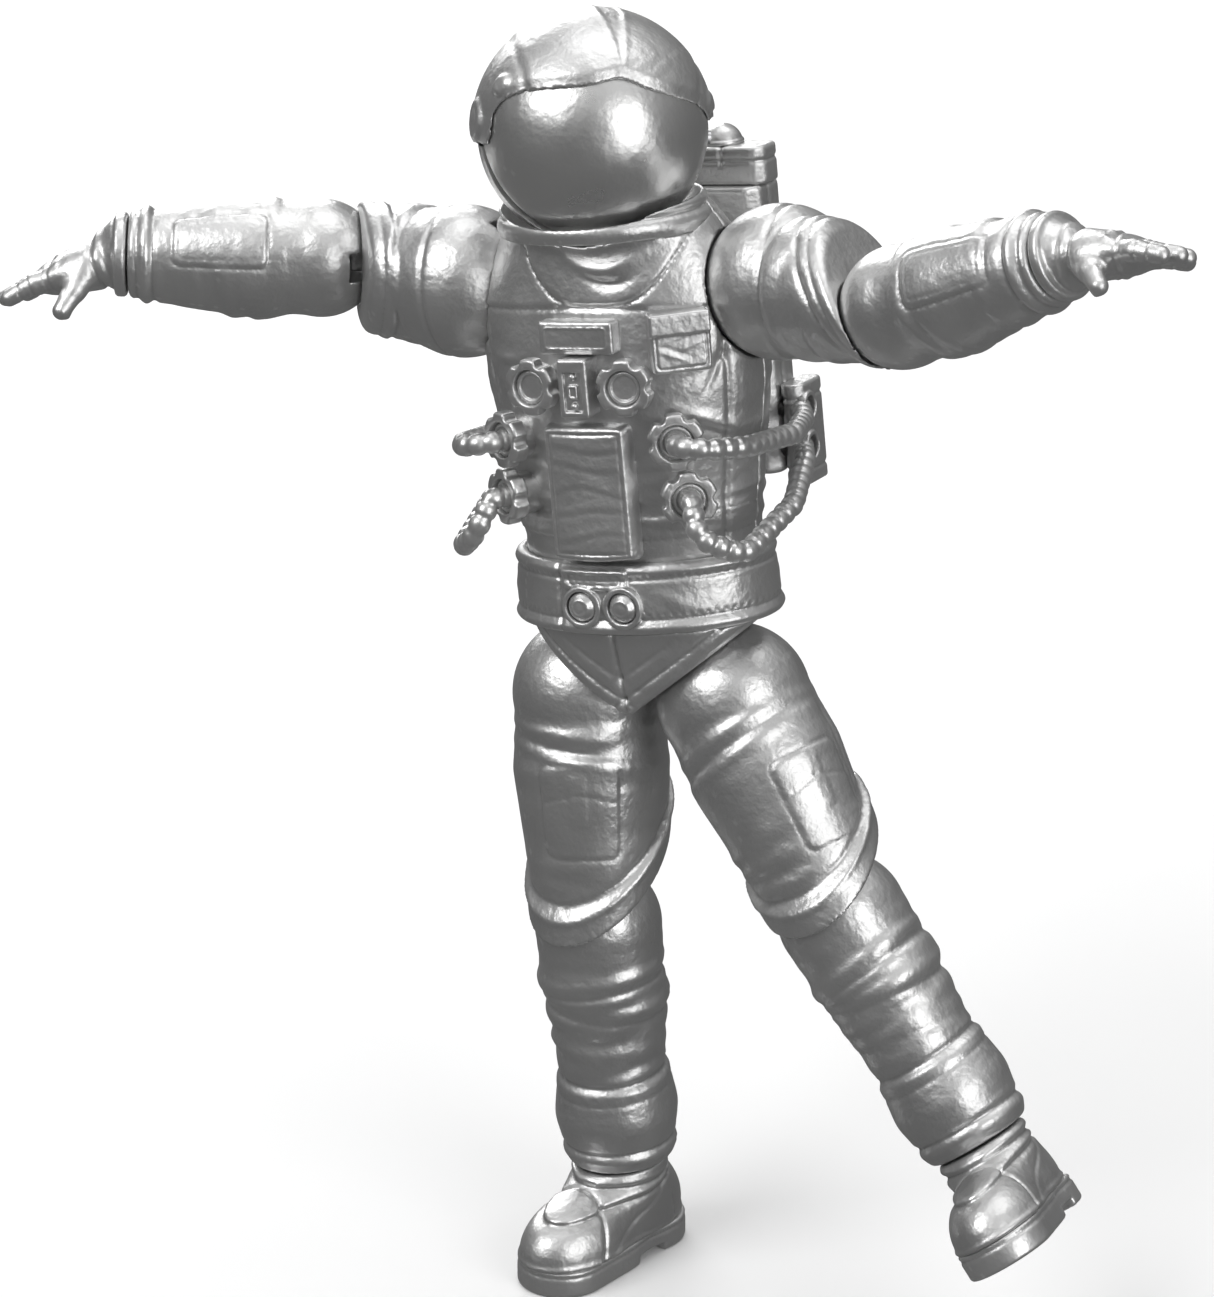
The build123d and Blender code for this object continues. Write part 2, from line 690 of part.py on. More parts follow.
UPPER_ARM_SHAPE = [(2.4, 8.0), (8.0, 8.3), (15.0, 7.4), (UPPER_ARM + 3, 7.0)]
FOREARM_SHAPE = [(2.0, 6.7), (8.0, 7.3), (15.0, 6.6), (FOREARM - SWIVEL_GAP, 5.2)]
WRIST_PEG_R = 2.0
WRIST_PEG = 5.0
FINGER_R = 1.05
FINGERS = [(-2.7, 6.2), (-0.9, 7.2), (0.9, 7.0), (2.7, 5.8)]    # place across, length


def make_upper_arm(shoulder, elbow, direction, name):
    """The upper arm, with the shoulder's bulb and the elbow's seat."""
    limb = frame(shoulder.centre, direction, elbow.axis)
    with BuildPart() as arm:
        revolve_stations(limb, UPPER_ARM_SHAPE)
        with Locations(Location(tuple(shoulder.centre))):
            Sphere(shoulder.bulb)
        cut_slot(shoulder)
        cut_seat(elbow)
        add_tongue(elbow)
    save(arm.part, name)


def make_forearm(elbow, direction, name):
    """The forearm, with the elbow's bulb and the bore for the wrist peg."""
    limb = frame(elbow.centre, direction, elbow.axis)
    with BuildPart() as arm:
        revolve_stations(limb, FOREARM_SHAPE)
        with Locations(Location(tuple(elbow.centre))):
            Sphere(elbow.bulb)
        cut_slot(elbow)
        end = limb.offset(FOREARM - WRIST_PEG)
        with BuildSketch(end):
            Circle(WRIST_PEG_R + RUNNING)
        extrude(amount=WRIST_PEG + 1, mode=Mode.SUBTRACT)
    save(arm.part, name)


def capsule(start, direction, length, radius):
    """A round-ended finger joint."""
    with BuildSketch(Plane(origin=start, z_dir=direction)) as section:
        Circle(radius)
    extrude(section.sketch, amount=length)
    for spot in (start, start + direction * length):
        with Locations(Location(tuple(spot))):
            Sphere(radius)


def make_hand(wrist, arm_direction, direction, palm_down, side, name):
    """An open gloved hand: cuff, palm, four fingers and a thumb."""
    cuff = frame(wrist, arm_direction, palm_down)
    palm = frame(wrist, direction, palm_down.cross(direction) * side)
    across = palm.x_dir
    with BuildPart() as hand:
        with BuildSketch(cuff):
            Circle(4.9)
        with BuildSketch(palm.offset(4.0)):
            Ellipse(3.9, 2.6)
        with BuildSketch(palm.offset(9.4)):
            Ellipse(4.0, 1.7)
        loft()
        with BuildSketch(cuff.offset(1.0)):
            Circle(WRIST_PEG_R)
        extrude(amount=-2, mode=Mode.SUBTRACT)
        knuckles = wrist + direction * 9.0
        for place, length in FINGERS:
            spread = (direction + across * (place * 0.035)).normalized()
            capsule(knuckles + across * place, spread, length, FINGER_R)
        thumb = (direction * 0.75 + across * -0.55 + palm_down * 0.7).normalized()
        capsule(wrist + direction * 4.2 - across * 2.6, thumb, 6.4, 1.25)
    save(hand.part, name)


def make_wrist_peg(wrist, direction, name):
    """The round peg on which a hand turns in its forearm."""
    with BuildPart() as peg:
        with BuildSketch(frame(wrist, direction, Vector(0, 0, 1)).offset(1.0)):
            Circle(WRIST_PEG_R)
        extrude(amount=-WRIST_PEG - 0.8)
    save(peg.part, name)


DOWN_R = Vector(0.0, -0.25, -1.0)
DOWN_L = Vector(0.15, -0.45, -1.0)
arms = [
    ("right", 1, shoulder_hinge_r, elbow_hinge_r, wrist_r, ARM_R_OUT, FORE_R_OUT, HAND_R_OUT, DOWN_R),
    ("left", -1, shoulder_hinge_l, elbow_hinge_l, wrist_l, ARM_L_OUT, FORE_L_OUT, HAND_L_OUT, DOWN_L),
]
for hand, side, shoulder, elbow, wrist, arm_out, fore_out, hand_out, down in arms:
    make_peg(shoulder, SHOULDER_PEG, f"{hand}_shoulder_peg")
    make_pin(shoulder, f"{hand}_shoulder_pin")
    make_upper_arm(shoulder, elbow, arm_out, f"{hand}_upper_arm")
    make_pin(elbow, f"{hand}_elbow_pin")
    make_forearm(elbow, fore_out, f"{hand}_forearm")
    palm_down = (down - hand_out * down.dot(hand_out)).normalized()
    make_hand(wrist, fore_out, hand_out, palm_down, side, f"{hand}_hand")
    make_wrist_peg(wrist, fore_out, f"{hand}_wrist_peg")


# ---- Legs ---------------------------------------------------------------

THIGH_SHAPE = [(2.4, 9.0), (9.0, 9.5), (19.0, 8.5), (THIGH + 3, 7.8)]
SHIN_SHAPE = [(1.6, 7.5), (8.0, 7.8), (17.0, 7.0), (25.0, 6.9), (SHIN - SWIVEL_GAP, 6.1)]
ANKLE_PEG_R = 2.4
ANKLE_PEG = 6.0
SOLE_TOP = 3.4
SOLE_LENGTH = 25.0
SOLE_WIDTH = 10.6
STAND_PEG_R = 1.6
STAND_PEG = 5.0


def make_thigh(hip, knee, direction, name):
    """The thigh, with the hip's bulb and the knee's seat."""
    limb = frame(hip.centre, direction, knee.axis)
    with BuildPart() as leg:
        revolve_stations(limb, THIGH_SHAPE)
        with Locations(Location(tuple(hip.centre))):
            Sphere(hip.bulb)
        cut_slot(hip)
        cut_seat(knee)
        add_tongue(knee)
    save(leg.part, name)


def make_shin(knee, direction, name):
    """The shin, with the knee's bulb and the bore for the ankle peg."""
    limb = frame(knee.centre, direction, knee.axis)
    with BuildPart() as leg:
        revolve_stations(limb, SHIN_SHAPE)
        with Locations(Location(tuple(knee.centre))):
            Sphere(knee.bulb)
        cut_slot(knee)
        with BuildSketch(limb.offset(SHIN - ANKLE_PEG)):
            Circle(ANKLE_PEG_R + RUNNING)
        extrude(amount=ANKLE_PEG + 1, mode=Mode.SUBTRACT)
    save(leg.part, name)


def foot_plane(ankle, heading, down):
    """The floor plane of a boot: y toward the toe, normal up the leg."""
    floor = ankle + down * ANKLE_HEIGHT
    forward = (heading - down * heading.dot(down)).normalized()
    return Plane(origin=floor, x_dir=forward.cross(down * -1), z_dir=down * -1)


def sole_outline(scale=1.0):
    """The long rounded outline of a boot sole, heel behind the ankle."""
    with Locations((0, 3.2)):
        SlotOverall(SOLE_LENGTH * scale, SOLE_WIDTH * scale, rotation=90)


def make_boot(ankle, shin_down, floor, hand):
    """A boot and its sole, with a stand hole under the heel."""
    collar = Plane(origin=ankle, x_dir=floor.x_dir, z_dir=shin_down * -1)
    with BuildPart() as boot:
        with BuildSketch(floor.offset(SOLE_TOP)):
            sole_outline(0.96)
        with BuildSketch(floor.offset(SOLE_TOP + 3.0)):
            with Locations((0, 2.6)):
                Ellipse(5.0, 10.6)
        with BuildSketch(collar):
            Ellipse(5.7, 5.9)
        loft(ruled=True)
        with BuildSketch(collar.offset(-2.0)):
            Circle(ANKLE_PEG_R)
        extrude(amount=3, mode=Mode.SUBTRACT)
        with BuildSketch(floor):
            Circle(STAND_PEG_R)
        extrude(amount=STAND_PEG, mode=Mode.SUBTRACT)
    save(boot.part, f"{hand}_boot")
    with BuildPart() as sole:
        with BuildSketch(floor):
            sole_outline()
        extrude(amount=SOLE_TOP)
        with BuildSketch(floor):
            Circle(STAND_PEG_R)
        extrude(amount=STAND_PEG, mode=Mode.SUBTRACT)
    save(sole.part, f"{hand}_sole")
    with BuildPart() as peg:
        with BuildSketch(collar.offset(-2.0)):
            Circle(ANKLE_PEG_R)
        extrude(amount=ANKLE_PEG + 1.8)
    save(peg.part, f"{hand}_ankle_peg")


floor_r = foot_plane(ankle_r, HEADING_R, Vector(0, 0, -1))
floor_l = foot_plane(ankle_l, HEADING_L, SHIN_L_DOWN)
legs = [
    ("right", hip_hinge_r, knee_hinge_r, ankle_r, THIGH_R_DOWN, SHIN_R_DOWN, floor_r),
    ("left", hip_hinge_l, knee_hinge_l, ankle_l, THIGH_L_DOWN, SHIN_L_DOWN, floor_l),
]
for hand, hip, knee, ankle, thigh_down, shin_down, floor in legs:
    make_peg(hip, HIP_PEG, f"{hand}_hip_peg")
    make_pin(hip, f"{hand}_hip_pin")
    make_thigh(hip, knee, thigh_down, f"{hand}_thigh")
    make_pin(knee, f"{hand}_knee_pin")
    make_shin(knee, shin_down, f"{hand}_shin")
    make_boot(ankle, shin_down, floor, hand)
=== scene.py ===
import json
import math
import bpy
import numpy as np
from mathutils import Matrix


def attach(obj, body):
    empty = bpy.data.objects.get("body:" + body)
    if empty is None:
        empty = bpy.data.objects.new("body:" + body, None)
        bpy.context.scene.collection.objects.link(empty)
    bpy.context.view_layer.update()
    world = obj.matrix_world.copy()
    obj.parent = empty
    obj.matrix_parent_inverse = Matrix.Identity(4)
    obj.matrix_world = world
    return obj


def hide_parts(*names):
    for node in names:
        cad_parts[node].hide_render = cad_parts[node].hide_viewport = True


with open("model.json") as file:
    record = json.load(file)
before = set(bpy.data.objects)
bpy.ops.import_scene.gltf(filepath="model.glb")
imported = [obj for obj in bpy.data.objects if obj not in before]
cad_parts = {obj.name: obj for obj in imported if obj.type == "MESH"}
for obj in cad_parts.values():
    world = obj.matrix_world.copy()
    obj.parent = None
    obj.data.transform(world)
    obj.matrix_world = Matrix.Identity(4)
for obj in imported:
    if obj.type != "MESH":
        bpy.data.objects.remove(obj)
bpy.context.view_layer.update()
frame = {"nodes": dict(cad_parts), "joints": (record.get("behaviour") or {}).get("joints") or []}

import openvdb

# A silver jointed astronaut figure. Sculpting is done in millimetres, in the frame of the
# CAD model, and every mesh is written in metres.

MM = 0.001
joints = {joint["name"]: joint for joint in frame["joints"]}


# ---- Places and directions, read from the joints -------------------------

def place(name):
    return np.array(joints[name]["pos_m"], float) / MM


def axis_of(name):
    return unit(joints[name]["axis"])


def unit(vector):
    vector = np.asarray(vector, float)
    return vector / np.linalg.norm(vector)


def square_to(vector, axis):
    """The part of a vector at right angles to an axis, as a unit vector."""
    vector = np.asarray(vector, float)
    return unit(vector - axis * (vector @ axis))


def turned(vector, axis, degrees):
    angle = math.radians(degrees)
    return vector * math.cos(angle) + np.cross(axis, vector) * math.sin(angle)


FRONT = np.array([0.0, -1.0, 0.0])
UP = np.array([0.0, 0.0, 1.0])


class Frame:
    """A local frame: origin and three unit directions."""

    def __init__(self, origin, x_dir, z_dir):
        self.origin = np.asarray(origin, float)
        self.z = unit(z_dir)
        self.x = square_to(x_dir, self.z)
        self.y = np.cross(self.z, self.x)

    def out(self, x, y, z):
        return self.origin + self.x * x + self.y * y + self.z * z

    def at(self, x, y, z):
        return Frame(self.out(x, y, z), self.x, self.z)

    def spun(self, degrees):
        """The frame turned about its own z."""
        angle = math.radians(degrees)
        return Frame(self.origin, self.x * math.cos(angle) + self.y * math.sin(angle), self.z)


waist = place("waist_swivel")
shoulders = [place("right_shoulder_swivel"), place("left_shoulder_swivel")]
torso = Frame(waist, shoulders[1] - shoulders[0], axis_of("waist_swivel"))
hips = [place("right_hip_swivel"), place("left_hip_swivel")]
pelvis_x = unit(hips[1] - hips[0])
head_x = axis_of("head_nod")
head = Frame(place("head_nod"), head_x, square_to(UP, head_x))


# ---- Sculpting by signed distance ----------------------------------------

class Clay:
    """A block of sample points that one piece is carved from."""

    def __init__(self, low, high, step):
        self.step = step
        self.low = np.floor(np.asarray(low) / step) * step
        counts = np.ceil((np.asarray(high) - self.low) / step).astype(int) + 1
        lines = [self.low[i] + step * np.arange(counts[i]) for i in range(3)]
        grids = np.meshgrid(*lines, indexing="ij")
        self.p = [g.astype(np.float32) for g in grids]

    def along(self, origin, direction):
        """Distance of every sample from an origin, measured along a direction."""
        x, y, z = (self.p[i] - np.float32(origin[i]) for i in range(3))
        a, b, c = (np.float32(v) for v in direction)
        return x * a + y * b + z * c

    def off_axis(self, origin, direction):
        """Distance of every sample from a line."""
        return np.sqrt(np.maximum(self.ball(origin, 0) ** 2 - self.along(origin, direction) ** 2, 0))

    def local(self, base):
        return [self.along(base.origin, d) for d in (base.x, base.y, base.z)]

    def ball(self, centre, radius):
        x, y, z = (self.p[i] - np.float32(centre[i]) for i in range(3))
        return np.sqrt(x * x + y * y + z * z) - np.float32(radius)

    def egg(self, base, centre, radii):
        """An ellipsoid in a local frame."""
        x, y, z = self.local(base.at(*centre))
        a, b, c = radii
        k = np.sqrt((x / a) ** 2 + (y / b) ** 2 + (z / c) ** 2)
        g = np.sqrt((x / a**2) ** 2 + (y / b**2) ** 2 + (z / c**2) ** 2) + np.float32(1e-5)
        return k * (k - 1) / g

    def rod(self, start, end, r_start, r_end=None):
        """A round-ended rod between two points, its radius changing evenly."""
        r_end = r_start if r_end is None else r_end
        start, end = np.asarray(start, float), np.asarray(end, float)
        span = end - start
        length = np.linalg.norm(span)
        h = np.clip(self.along(start, span / length) / length, 0, 1)
        x, y, z = (self.p[i] - np.float32(start[i]) - h * np.float32(span[i]) for i in range(3))
        return np.sqrt(x * x + y * y + z * z) - (r_start + (r_end - r_start) * h)

    def block(self, base, size, soften):
        """A box with rounded edges, centred on a frame."""
        q = [np.abs(v) - (s / 2 - soften) for v, s in zip(self.local(base), size)]
        outside = np.sqrt(sum(np.maximum(v, 0) ** 2 for v in q))
        inside = np.minimum(np.maximum(np.maximum(q[0], q[1]), q[2]), 0)
        return outside + inside - soften

    def disc(self, base, radius, low, high, soften=0.0):
        """A round disc about a frame's z, between two heights."""
        x, y, z = self.local(base)
        side = np.sqrt(x * x + y * y) - (radius - soften)
        ends = np.abs(z - (low + high) / 2) - ((high - low) / 2 - soften)
        outside = np.sqrt(np.maximum(side, 0) ** 2 + np.maximum(ends, 0) ** 2)
        return outside + np.minimum(np.maximum(side, ends), 0) - soften


def clay_over(base, x_ends, y_ends, z_ends, step):
    """Clay over a box, given by its ends along a frame's three directions."""
    corners = [base.out(x, y, z) for x in x_ends for y in y_ends for z in z_ends]
    return Clay(np.min(corners, 0), np.max(corners, 0), step)


def blend_union(a, b, k):
    """What is inside either field, with a softened join."""
    h = np.maximum(k - np.abs(a - b), 0) / k
    return np.minimum(a, b) - h * h * (k / 4)


def blend_cut(a, b, k):
    """What is inside both fields, with a softened edge."""
    h = np.maximum(k - np.abs(a - b), 0) / k
    return np.maximum(a, b) + h * h * (k / 4)


def bump(x, width):
    """A smooth bump of height 1 at zero."""
    return np.exp(-((x / width) ** 2))


def groove(x, width):
    """Relief of a narrow groove along zero: -1 at its middle and 0 beside it."""
    return -np.clip(1 - np.abs(x) / width, 0, 1) ** 1.5


def step_up(x, width):
    """0 below zero and 1 above it, rising smoothly over a width."""
    t = np.clip(x / width + 0.5, 0, 1)
    return t * t * (3 - 2 * t)


def outside_of(x, y, half_x, half_y, corner):
    """Distance outside a rounded rectangle, negative inside it."""
    qx, qy = np.abs(x) - (half_x - corner), np.abs(y) - (half_y - corner)
    away = np.sqrt(np.maximum(qx, 0) ** 2 + np.maximum(qy, 0) ** 2)
    return away + np.minimum(np.maximum(qx, qy), 0) - corner


def plate(x, y, half_x, half_y, corner, edge):
    """1 inside a rounded rectangle and 0 outside, with soft edges."""
    return 1 - step_up(outside_of(x, y, half_x, half_y, corner), edge)


def outline_groove(x, y, half_x, half_y, corner, width):
    """Relief of a groove along the edge of a rounded rectangle."""
    return groove(outside_of(x, y, half_x, half_y, corner), width)


def wrapped(angle):
    return (angle + np.pi) % (2 * np.pi) - np.pi


def smooth_profile(points):
    """A function through (distance, value) points, rounded at its corners."""
    at = np.array([p[0] for p in points], float)
    value = np.array([p[1] for p in points], float)
    fine = np.arange(at[0] - 6, at[-1] + 6, 0.1)
    kernel = np.exp(-((np.arange(-20, 21) / 9.0) ** 2))
    raw = np.interp(fine, at, value)
    padded = np.pad(raw, 20, mode="edge")
    table = np.convolve(padded, kernel / kernel.sum(), mode="valid")
    return lambda t: np.interp(t, fine, table).astype(np.float32)


SOFTEN = 0.42       # folds are soft, because the suit is moulded in one skin


def folds(rng, t, a, count, span, depth, width, reach=1.1, slant=1.2):
    """Soft folds across a limb: each is a valley with a ridge beside it."""
    total = np.zeros_like(t)
    for _ in range(count):
        at, where = rng.uniform(*span), rng.uniform(-np.pi, np.pi)
        lean, w = rng.uniform(-slant, slant), width * rng.uniform(0.8, 1.8)
        strength, side = depth * rng.uniform(0.45, 1.0), rng.choice([-1, 1])
        turn = wrapped(a - where)
        x = t - at - lean * np.sin(turn) - 0.5 * np.sin(2 * turn + at)
        valley = -bump(x, w) + 0.75 * bump(x - side * 1.7 * w, 1.25 * w)
        total += strength * bump(turn, reach * rng.uniform(0.7, 1.3)) * valley
    return total * SOFTEN


def dimples(rng, clay, amount, size):
    """Slow unevenness of a hand-finished surface."""
    total = np.zeros_like(clay.p[0])
    for _ in range(7):
        direction = unit(rng.normal(size=3)) * (2 * np.pi / (size * rng.uniform(0.7, 1.5)))
        total += np.sin(clay.along((0, 0, 0), direction) + rng.uniform(0, 6.28))
    return total * (amount / 3)


pieces = {}


def mesh_object(name, points, faces_of_4, faces_of_3=()):
    """A smooth mesh object from points in millimetres."""
    mesh = bpy.data.meshes.new(name)
    quads, triangles = np.asarray(faces_of_4, np.int32), np.asarray(faces_of_3, np.int32)
    loops = np.concatenate([quads.ravel(), triangles.ravel()])
    sizes = np.concatenate([np.full(len(faces_of_4), 4), np.full(len(faces_of_3), 3)]).astype(np.int32)
    mesh.vertices.add(len(points))
    mesh.vertices.foreach_set("co", (np.asarray(points, np.float32) * MM).ravel())
    mesh.loops.add(len(loops))
    mesh.loops.foreach_set("vertex_index", loops)
    mesh.polygons.add(len(sizes))
    starts = np.concatenate([[0], np.cumsum(sizes)[:-1]]).astype(np.int32)
    mesh.polygons.foreach_set("loop_start", starts)
    mesh.polygons.foreach_set("use_smooth", np.ones(len(sizes), bool))
    mesh.update(calc_edges=True)
    mesh.validate()
    piece = bpy.data.objects.new(name, mesh)
    bpy.context.scene.collection.objects.link(piece)
    return piece


def signed_volume(points, faces):
    a, b, c = points[faces[:, 0]], points[faces[:, 1]], points[faces[:, 2]]
    return float(np.einsum("ij,ij->i", a, np.cross(b, c)).sum())


def sampled(field, spots):
    """A carved field read between its samples, at points in grid steps."""
    last = np.array(field.shape) - 2
    cell = np.clip(np.floor(spots).astype(int), 0, last)
    f = np.clip(spots - cell, 0, 1)
    total = np.zeros(len(spots))
    for i in (0, 1):
        for j in (0, 1):
            for k in (0, 1):
                share = np.abs(1 - i - f[:, 0]) * np.abs(1 - j - f[:, 1]) * np.abs(1 - k - f[:, 2])
                total += share * field[cell[:, 0] + i, cell[:, 1] + j, cell[:, 2] + k]
    return total


def settled(points, field, step):
    """Mesh points moved onto the carved surface itself, so that highlights run smoothly."""
    for _ in range(3):
        height = sampled(field, points) / step
        nudge = np.eye(3) * 0.5
        slope = np.stack([sampled(field, points + n) - sampled(field, points - n) for n in nudge], 1) / step
        steepness = np.maximum((slope**2).sum(1), 0.25)
        move = np.clip(height / steepness, -0.35, 0.35)
        points = points - slope * move[:, None]
    return points


def cast(name, clay, field, body, material, nodes):
    """Turn a carved field into a mesh piece that stands for its CAD nodes."""
    volume = openvdb.FloatGrid(3.0)
    volume.copyFromArray(np.ascontiguousarray(np.clip(field, -2, 2), np.float32))
    points, triangles, quads = volume.convertToPolygons(isovalue=0.0)
    points = settled(points.astype(float), field, clay.step) * clay.step + clay.low
    if signed_volume(points - points.mean(0), quads.astype(int)) < 0:
        triangles, quads = triangles[:, ::-1], quads[:, ::-1]
    piece = mesh_object(name, points, quads, triangles)
    finish_piece(piece, body, material, nodes)
    return piece


def finish_piece(piece, body, material, nodes):
    piece.data.materials.append(materials[material])
    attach(piece, body)
    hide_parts(*nodes)
    pieces[piece.name] = piece


# ---- Finishes ------------------------------------------------------------

def new_material(name):
    material = bpy.data.materials.new(name)
    material.use_nodes = True
    nodes, links = material.node_tree.nodes, material.node_tree.links
    shader = next(n for n in nodes if n.type == "BSDF_PRINCIPLED")
    return material, nodes, links, shader


def noise(nodes, links, where, scale, detail=3.0):
    texture = nodes.new("ShaderNodeTexNoise")
    texture.inputs["Scale"].default_value = scale
    texture.inputs["Detail"].default_value = detail
    links.new(where, texture.inputs["Vector"])
    return texture.outputs["Fac"]


def ramp(nodes, links, value, stops):
    """A colour ramp with (position, grey or colour) stops."""
    node = nodes.new("ShaderNodeValToRGB")
    elements = node.color_ramp.elements
    while len(elements) < len(stops):
        elements.new(0.5)
    for element, (position, colour) in zip(elements, stops):
        element.position = position
        colour = (colour,) * 3 if isinstance(colour, float) else colour
        element.color = (*colour, 1.0)
    links.new(value, node.inputs["Fac"])
    return node.outputs["Color"]


def paint(name, light, dark, metallic, rough, peel, peel_scale, coat=0.0):
    """Sprayed finish: slow colour drift, painted shade darkening the creases with convex edges lightened,
    and an orange-peel skin.
    """
    material, nodes, links, shader = new_material(name)
    where = nodes.new("ShaderNodeTexCoord").outputs["Object"]
    shader.inputs["Metallic"].default_value = metallic
    shader.inputs["Coat Weight"].default_value = coat
    shader.inputs["Coat Roughness"].default_value = 0.12
    drift = ramp(nodes, links, noise(nodes, links, where, 60.0), [(0.35, dark), (0.65, light)])
    point = nodes.new("ShaderNodeNewGeometry").outputs["Pointiness"]
    # painted shade: pointiness darkens creases and hollows in the base colour, and lightens convex edges
    # above it
    crease_shade_edge_light = ramp(nodes, links, point, [(0.42, 0.55), (0.49, 0.96), (0.53, 1.0), (0.6, 1.12)])
    tint = nodes.new("ShaderNodeMix")
    tint.data_type = "RGBA"
    tint.blend_type = "MULTIPLY"
    tint.inputs["Factor"].default_value = 1.0
    links.new(drift, tint.inputs["A"])
    links.new(crease_shade_edge_light, tint.inputs["B"])
    links.new(tint.outputs["Result"], shader.inputs["Base Color"])
    blotch = noise(nodes, links, where, 220.0, 5.0)
    low, high = rough
    links.new(ramp(nodes, links, blotch, [(0.3, low), (0.7, high)]), shader.inputs["Roughness"])
    skin = noise(nodes, links, where, peel_scale, 2.0)
    bump_node = nodes.new("ShaderNodeBump")
    bump_node.inputs["Strength"].default_value = peel
    bump_node.inputs["Distance"].default_value = 0.0002
    links.new(skin, bump_node.inputs["Height"])
    links.new(bump_node.outputs["Normal"], shader.inputs["Normal"])
    return material


SILVER, SILVER_DARK, SILVER_BRIGHT = (0.72, 0.72, 0.715), (0.64, 0.64, 0.64), (0.74, 0.74, 0.735)
GREY, GREY_DARK = (0.30, 0.31, 0.33), (0.24, 0.25, 0.27)
STEEL, STEEL_DARK = (0.56, 0.57, 0.58), (0.46, 0.46, 0.47)
materials = {           # colours, metallic, roughness from and to, orange-peel strength and scale
    "suit_silver": paint("suit silver", SILVER, SILVER_DARK, 0.94, (0.33, 0.43), 0.55, 900.0),
    "visor_silver": paint("visor silver", SILVER_BRIGHT, SILVER, 0.95, (0.27, 0.34), 0.3, 800.0),
    "hose_silver": paint("hose silver", SILVER, SILVER_DARK, 0.9, (0.28, 0.38), 0.25, 1100.0),
    "sole_silver": paint("sole silver", SILVER, SILVER_DARK, 0.9, (0.3, 0.42), 0.4, 900.0),
    "peg_plastic": paint("peg plastic", GREY, GREY_DARK, 0.1, (0.4, 0.5), 0.2, 1500.0),
    "steel": paint("screw steel", STEEL, STEEL_DARK, 1.0, (0.25, 0.35), 0.15, 2500.0),
}


# ---- Joints: bulbs, seats, tongues and slots -----------------------------

DISH_GAP = 0.3
TONGUE = 3.0
SLOT_CLEAR = 0.2
NECK_HALF = 1.3


class Hinge:
    """A bulb in a dished seat: where it is and how it turns."""

    def __init__(self, bend, out, bulb, setback):
        self.centre = place(bend)
        self.out = unit(out)
        self.axis = square_to(axis_of(bend), self.out)
        self.bulb = bulb
        self.setback = setback
        self.low, self.high = joints[bend]["range_deg"]


def before_mouth(clay, hinge):
    """How far a sample lies beyond the mouth of the seat, negative inside the seat's piece."""
    return clay.along(hinge.centre, hinge.out) + hinge.setback


def with_seat(clay, field, hinge):
    field = blend_cut(field, before_mouth(clay, hinge), 0.6)
    return np.maximum(field, -clay.ball(hinge.centre, hinge.bulb + DISH_GAP))


def with_tongue(clay, field, hinge):
    back = -hinge.out
    u = clay.along(hinge.centre, back)
    v = clay.along(hinge.centre, np.cross(hinge.axis, back))
    thick = np.abs(clay.along(hinge.centre, hinge.axis)) - TONGUE / 2
    eye = np.sqrt(u * u + v * v) - hinge.bulb / 2
    neck = np.maximum(np.maximum(np.abs(v) - NECK_HALF, -u), u - hinge.bulb - 0.9)
    return np.minimum(field, np.maximum(thick, np.minimum(eye, neck)))


def with_slot(clay, field, hinge):
    middle = turned(-hinge.out, hinge.axis, -(hinge.low + hinge.high) / 2)
    u = clay.along(hinge.centre, middle)
    v = clay.along(hinge.centre, np.cross(hinge.axis, middle))
    thick = np.abs(clay.along(hinge.centre, hinge.axis)) - (TONGUE / 2 + SLOT_CLEAR)
    eye = hinge.bulb / 2 + SLOT_CLEAR
    spread = math.radians((hinge.high - hinge.low) / 2 + 2) + math.asin(NECK_HALF / eye)
    wedge = np.abs(v) * math.cos(spread) - u * math.sin(spread)
    return np.maximum(field, -np.maximum(thick, np.minimum(np.sqrt(u * u + v * v) - eye, wedge)))


SHOULDER_BULB, ELBOW_BULB, HIP_BULB, KNEE_BULB = 9.2, 7.2, 9.3, 7.8
sides = ("right", "left")
hinges = {}
for side, elbow_turn in zip(sides, (8, 15)):
    fore = place(f"{side}_wrist_swivel") - place(f"{side}_elbow_bend")
    shin_down = place(f"{side}_ankle_swivel") - place(f"{side}_knee_bend")
    elbow_out = turned(unit(fore), axis_of(f"{side}_elbow_bend"), elbow_turn)
    knee_out = turned(unit(shin_down), axis_of(f"{side}_knee_bend"), 33)
    shoulder_out, hip_out = axis_of(f"{side}_shoulder_swivel"), axis_of(f"{side}_hip_swivel")
    hinges[side, "shoulder"] = Hinge(f"{side}_shoulder_raise", shoulder_out, SHOULDER_BULB, 3.0)
    hinges[side, "elbow"] = Hinge(f"{side}_elbow_bend", elbow_out, ELBOW_BULB, 4.3)
    hinges[side, "hip"] = Hinge(f"{side}_hip_spread", hip_out, HIP_BULB, 6.0)
    hinges[side, "knee"] = Hinge(f"{side}_knee_bend", knee_out, KNEE_BULB, 4.3)


class Limb(Frame):
    """A limb's frame: z runs down the limb from a hinge, x faces forward."""

    def __init__(self, start, end):
        super().__init__(start, FRONT, np.asarray(end) - start)
        self.length = float(np.linalg.norm(np.asarray(end) - start))

    def clay(self, reach, before, after, step):
        ends = np.array([self.out(0, 0, -before), self.out(0, 0, self.length + after)])
        return Clay(ends.min(0) - reach, ends.max(0) + reach, step)

    def polar(self, clay):
        x, y, z = clay.local(self)
        return z, np.arctan2(y, x), np.sqrt(x * x + y * y)


def tube(t, radius, profile, relief, start, end):
    """A limb's skin: a radius along its length with relief, closed at both ends."""
    skin = (radius - profile(t) - relief) * 0.96
    skin = blend_cut(skin, start - t, 1.2)
    return blend_cut(skin, t - end, 1.0)


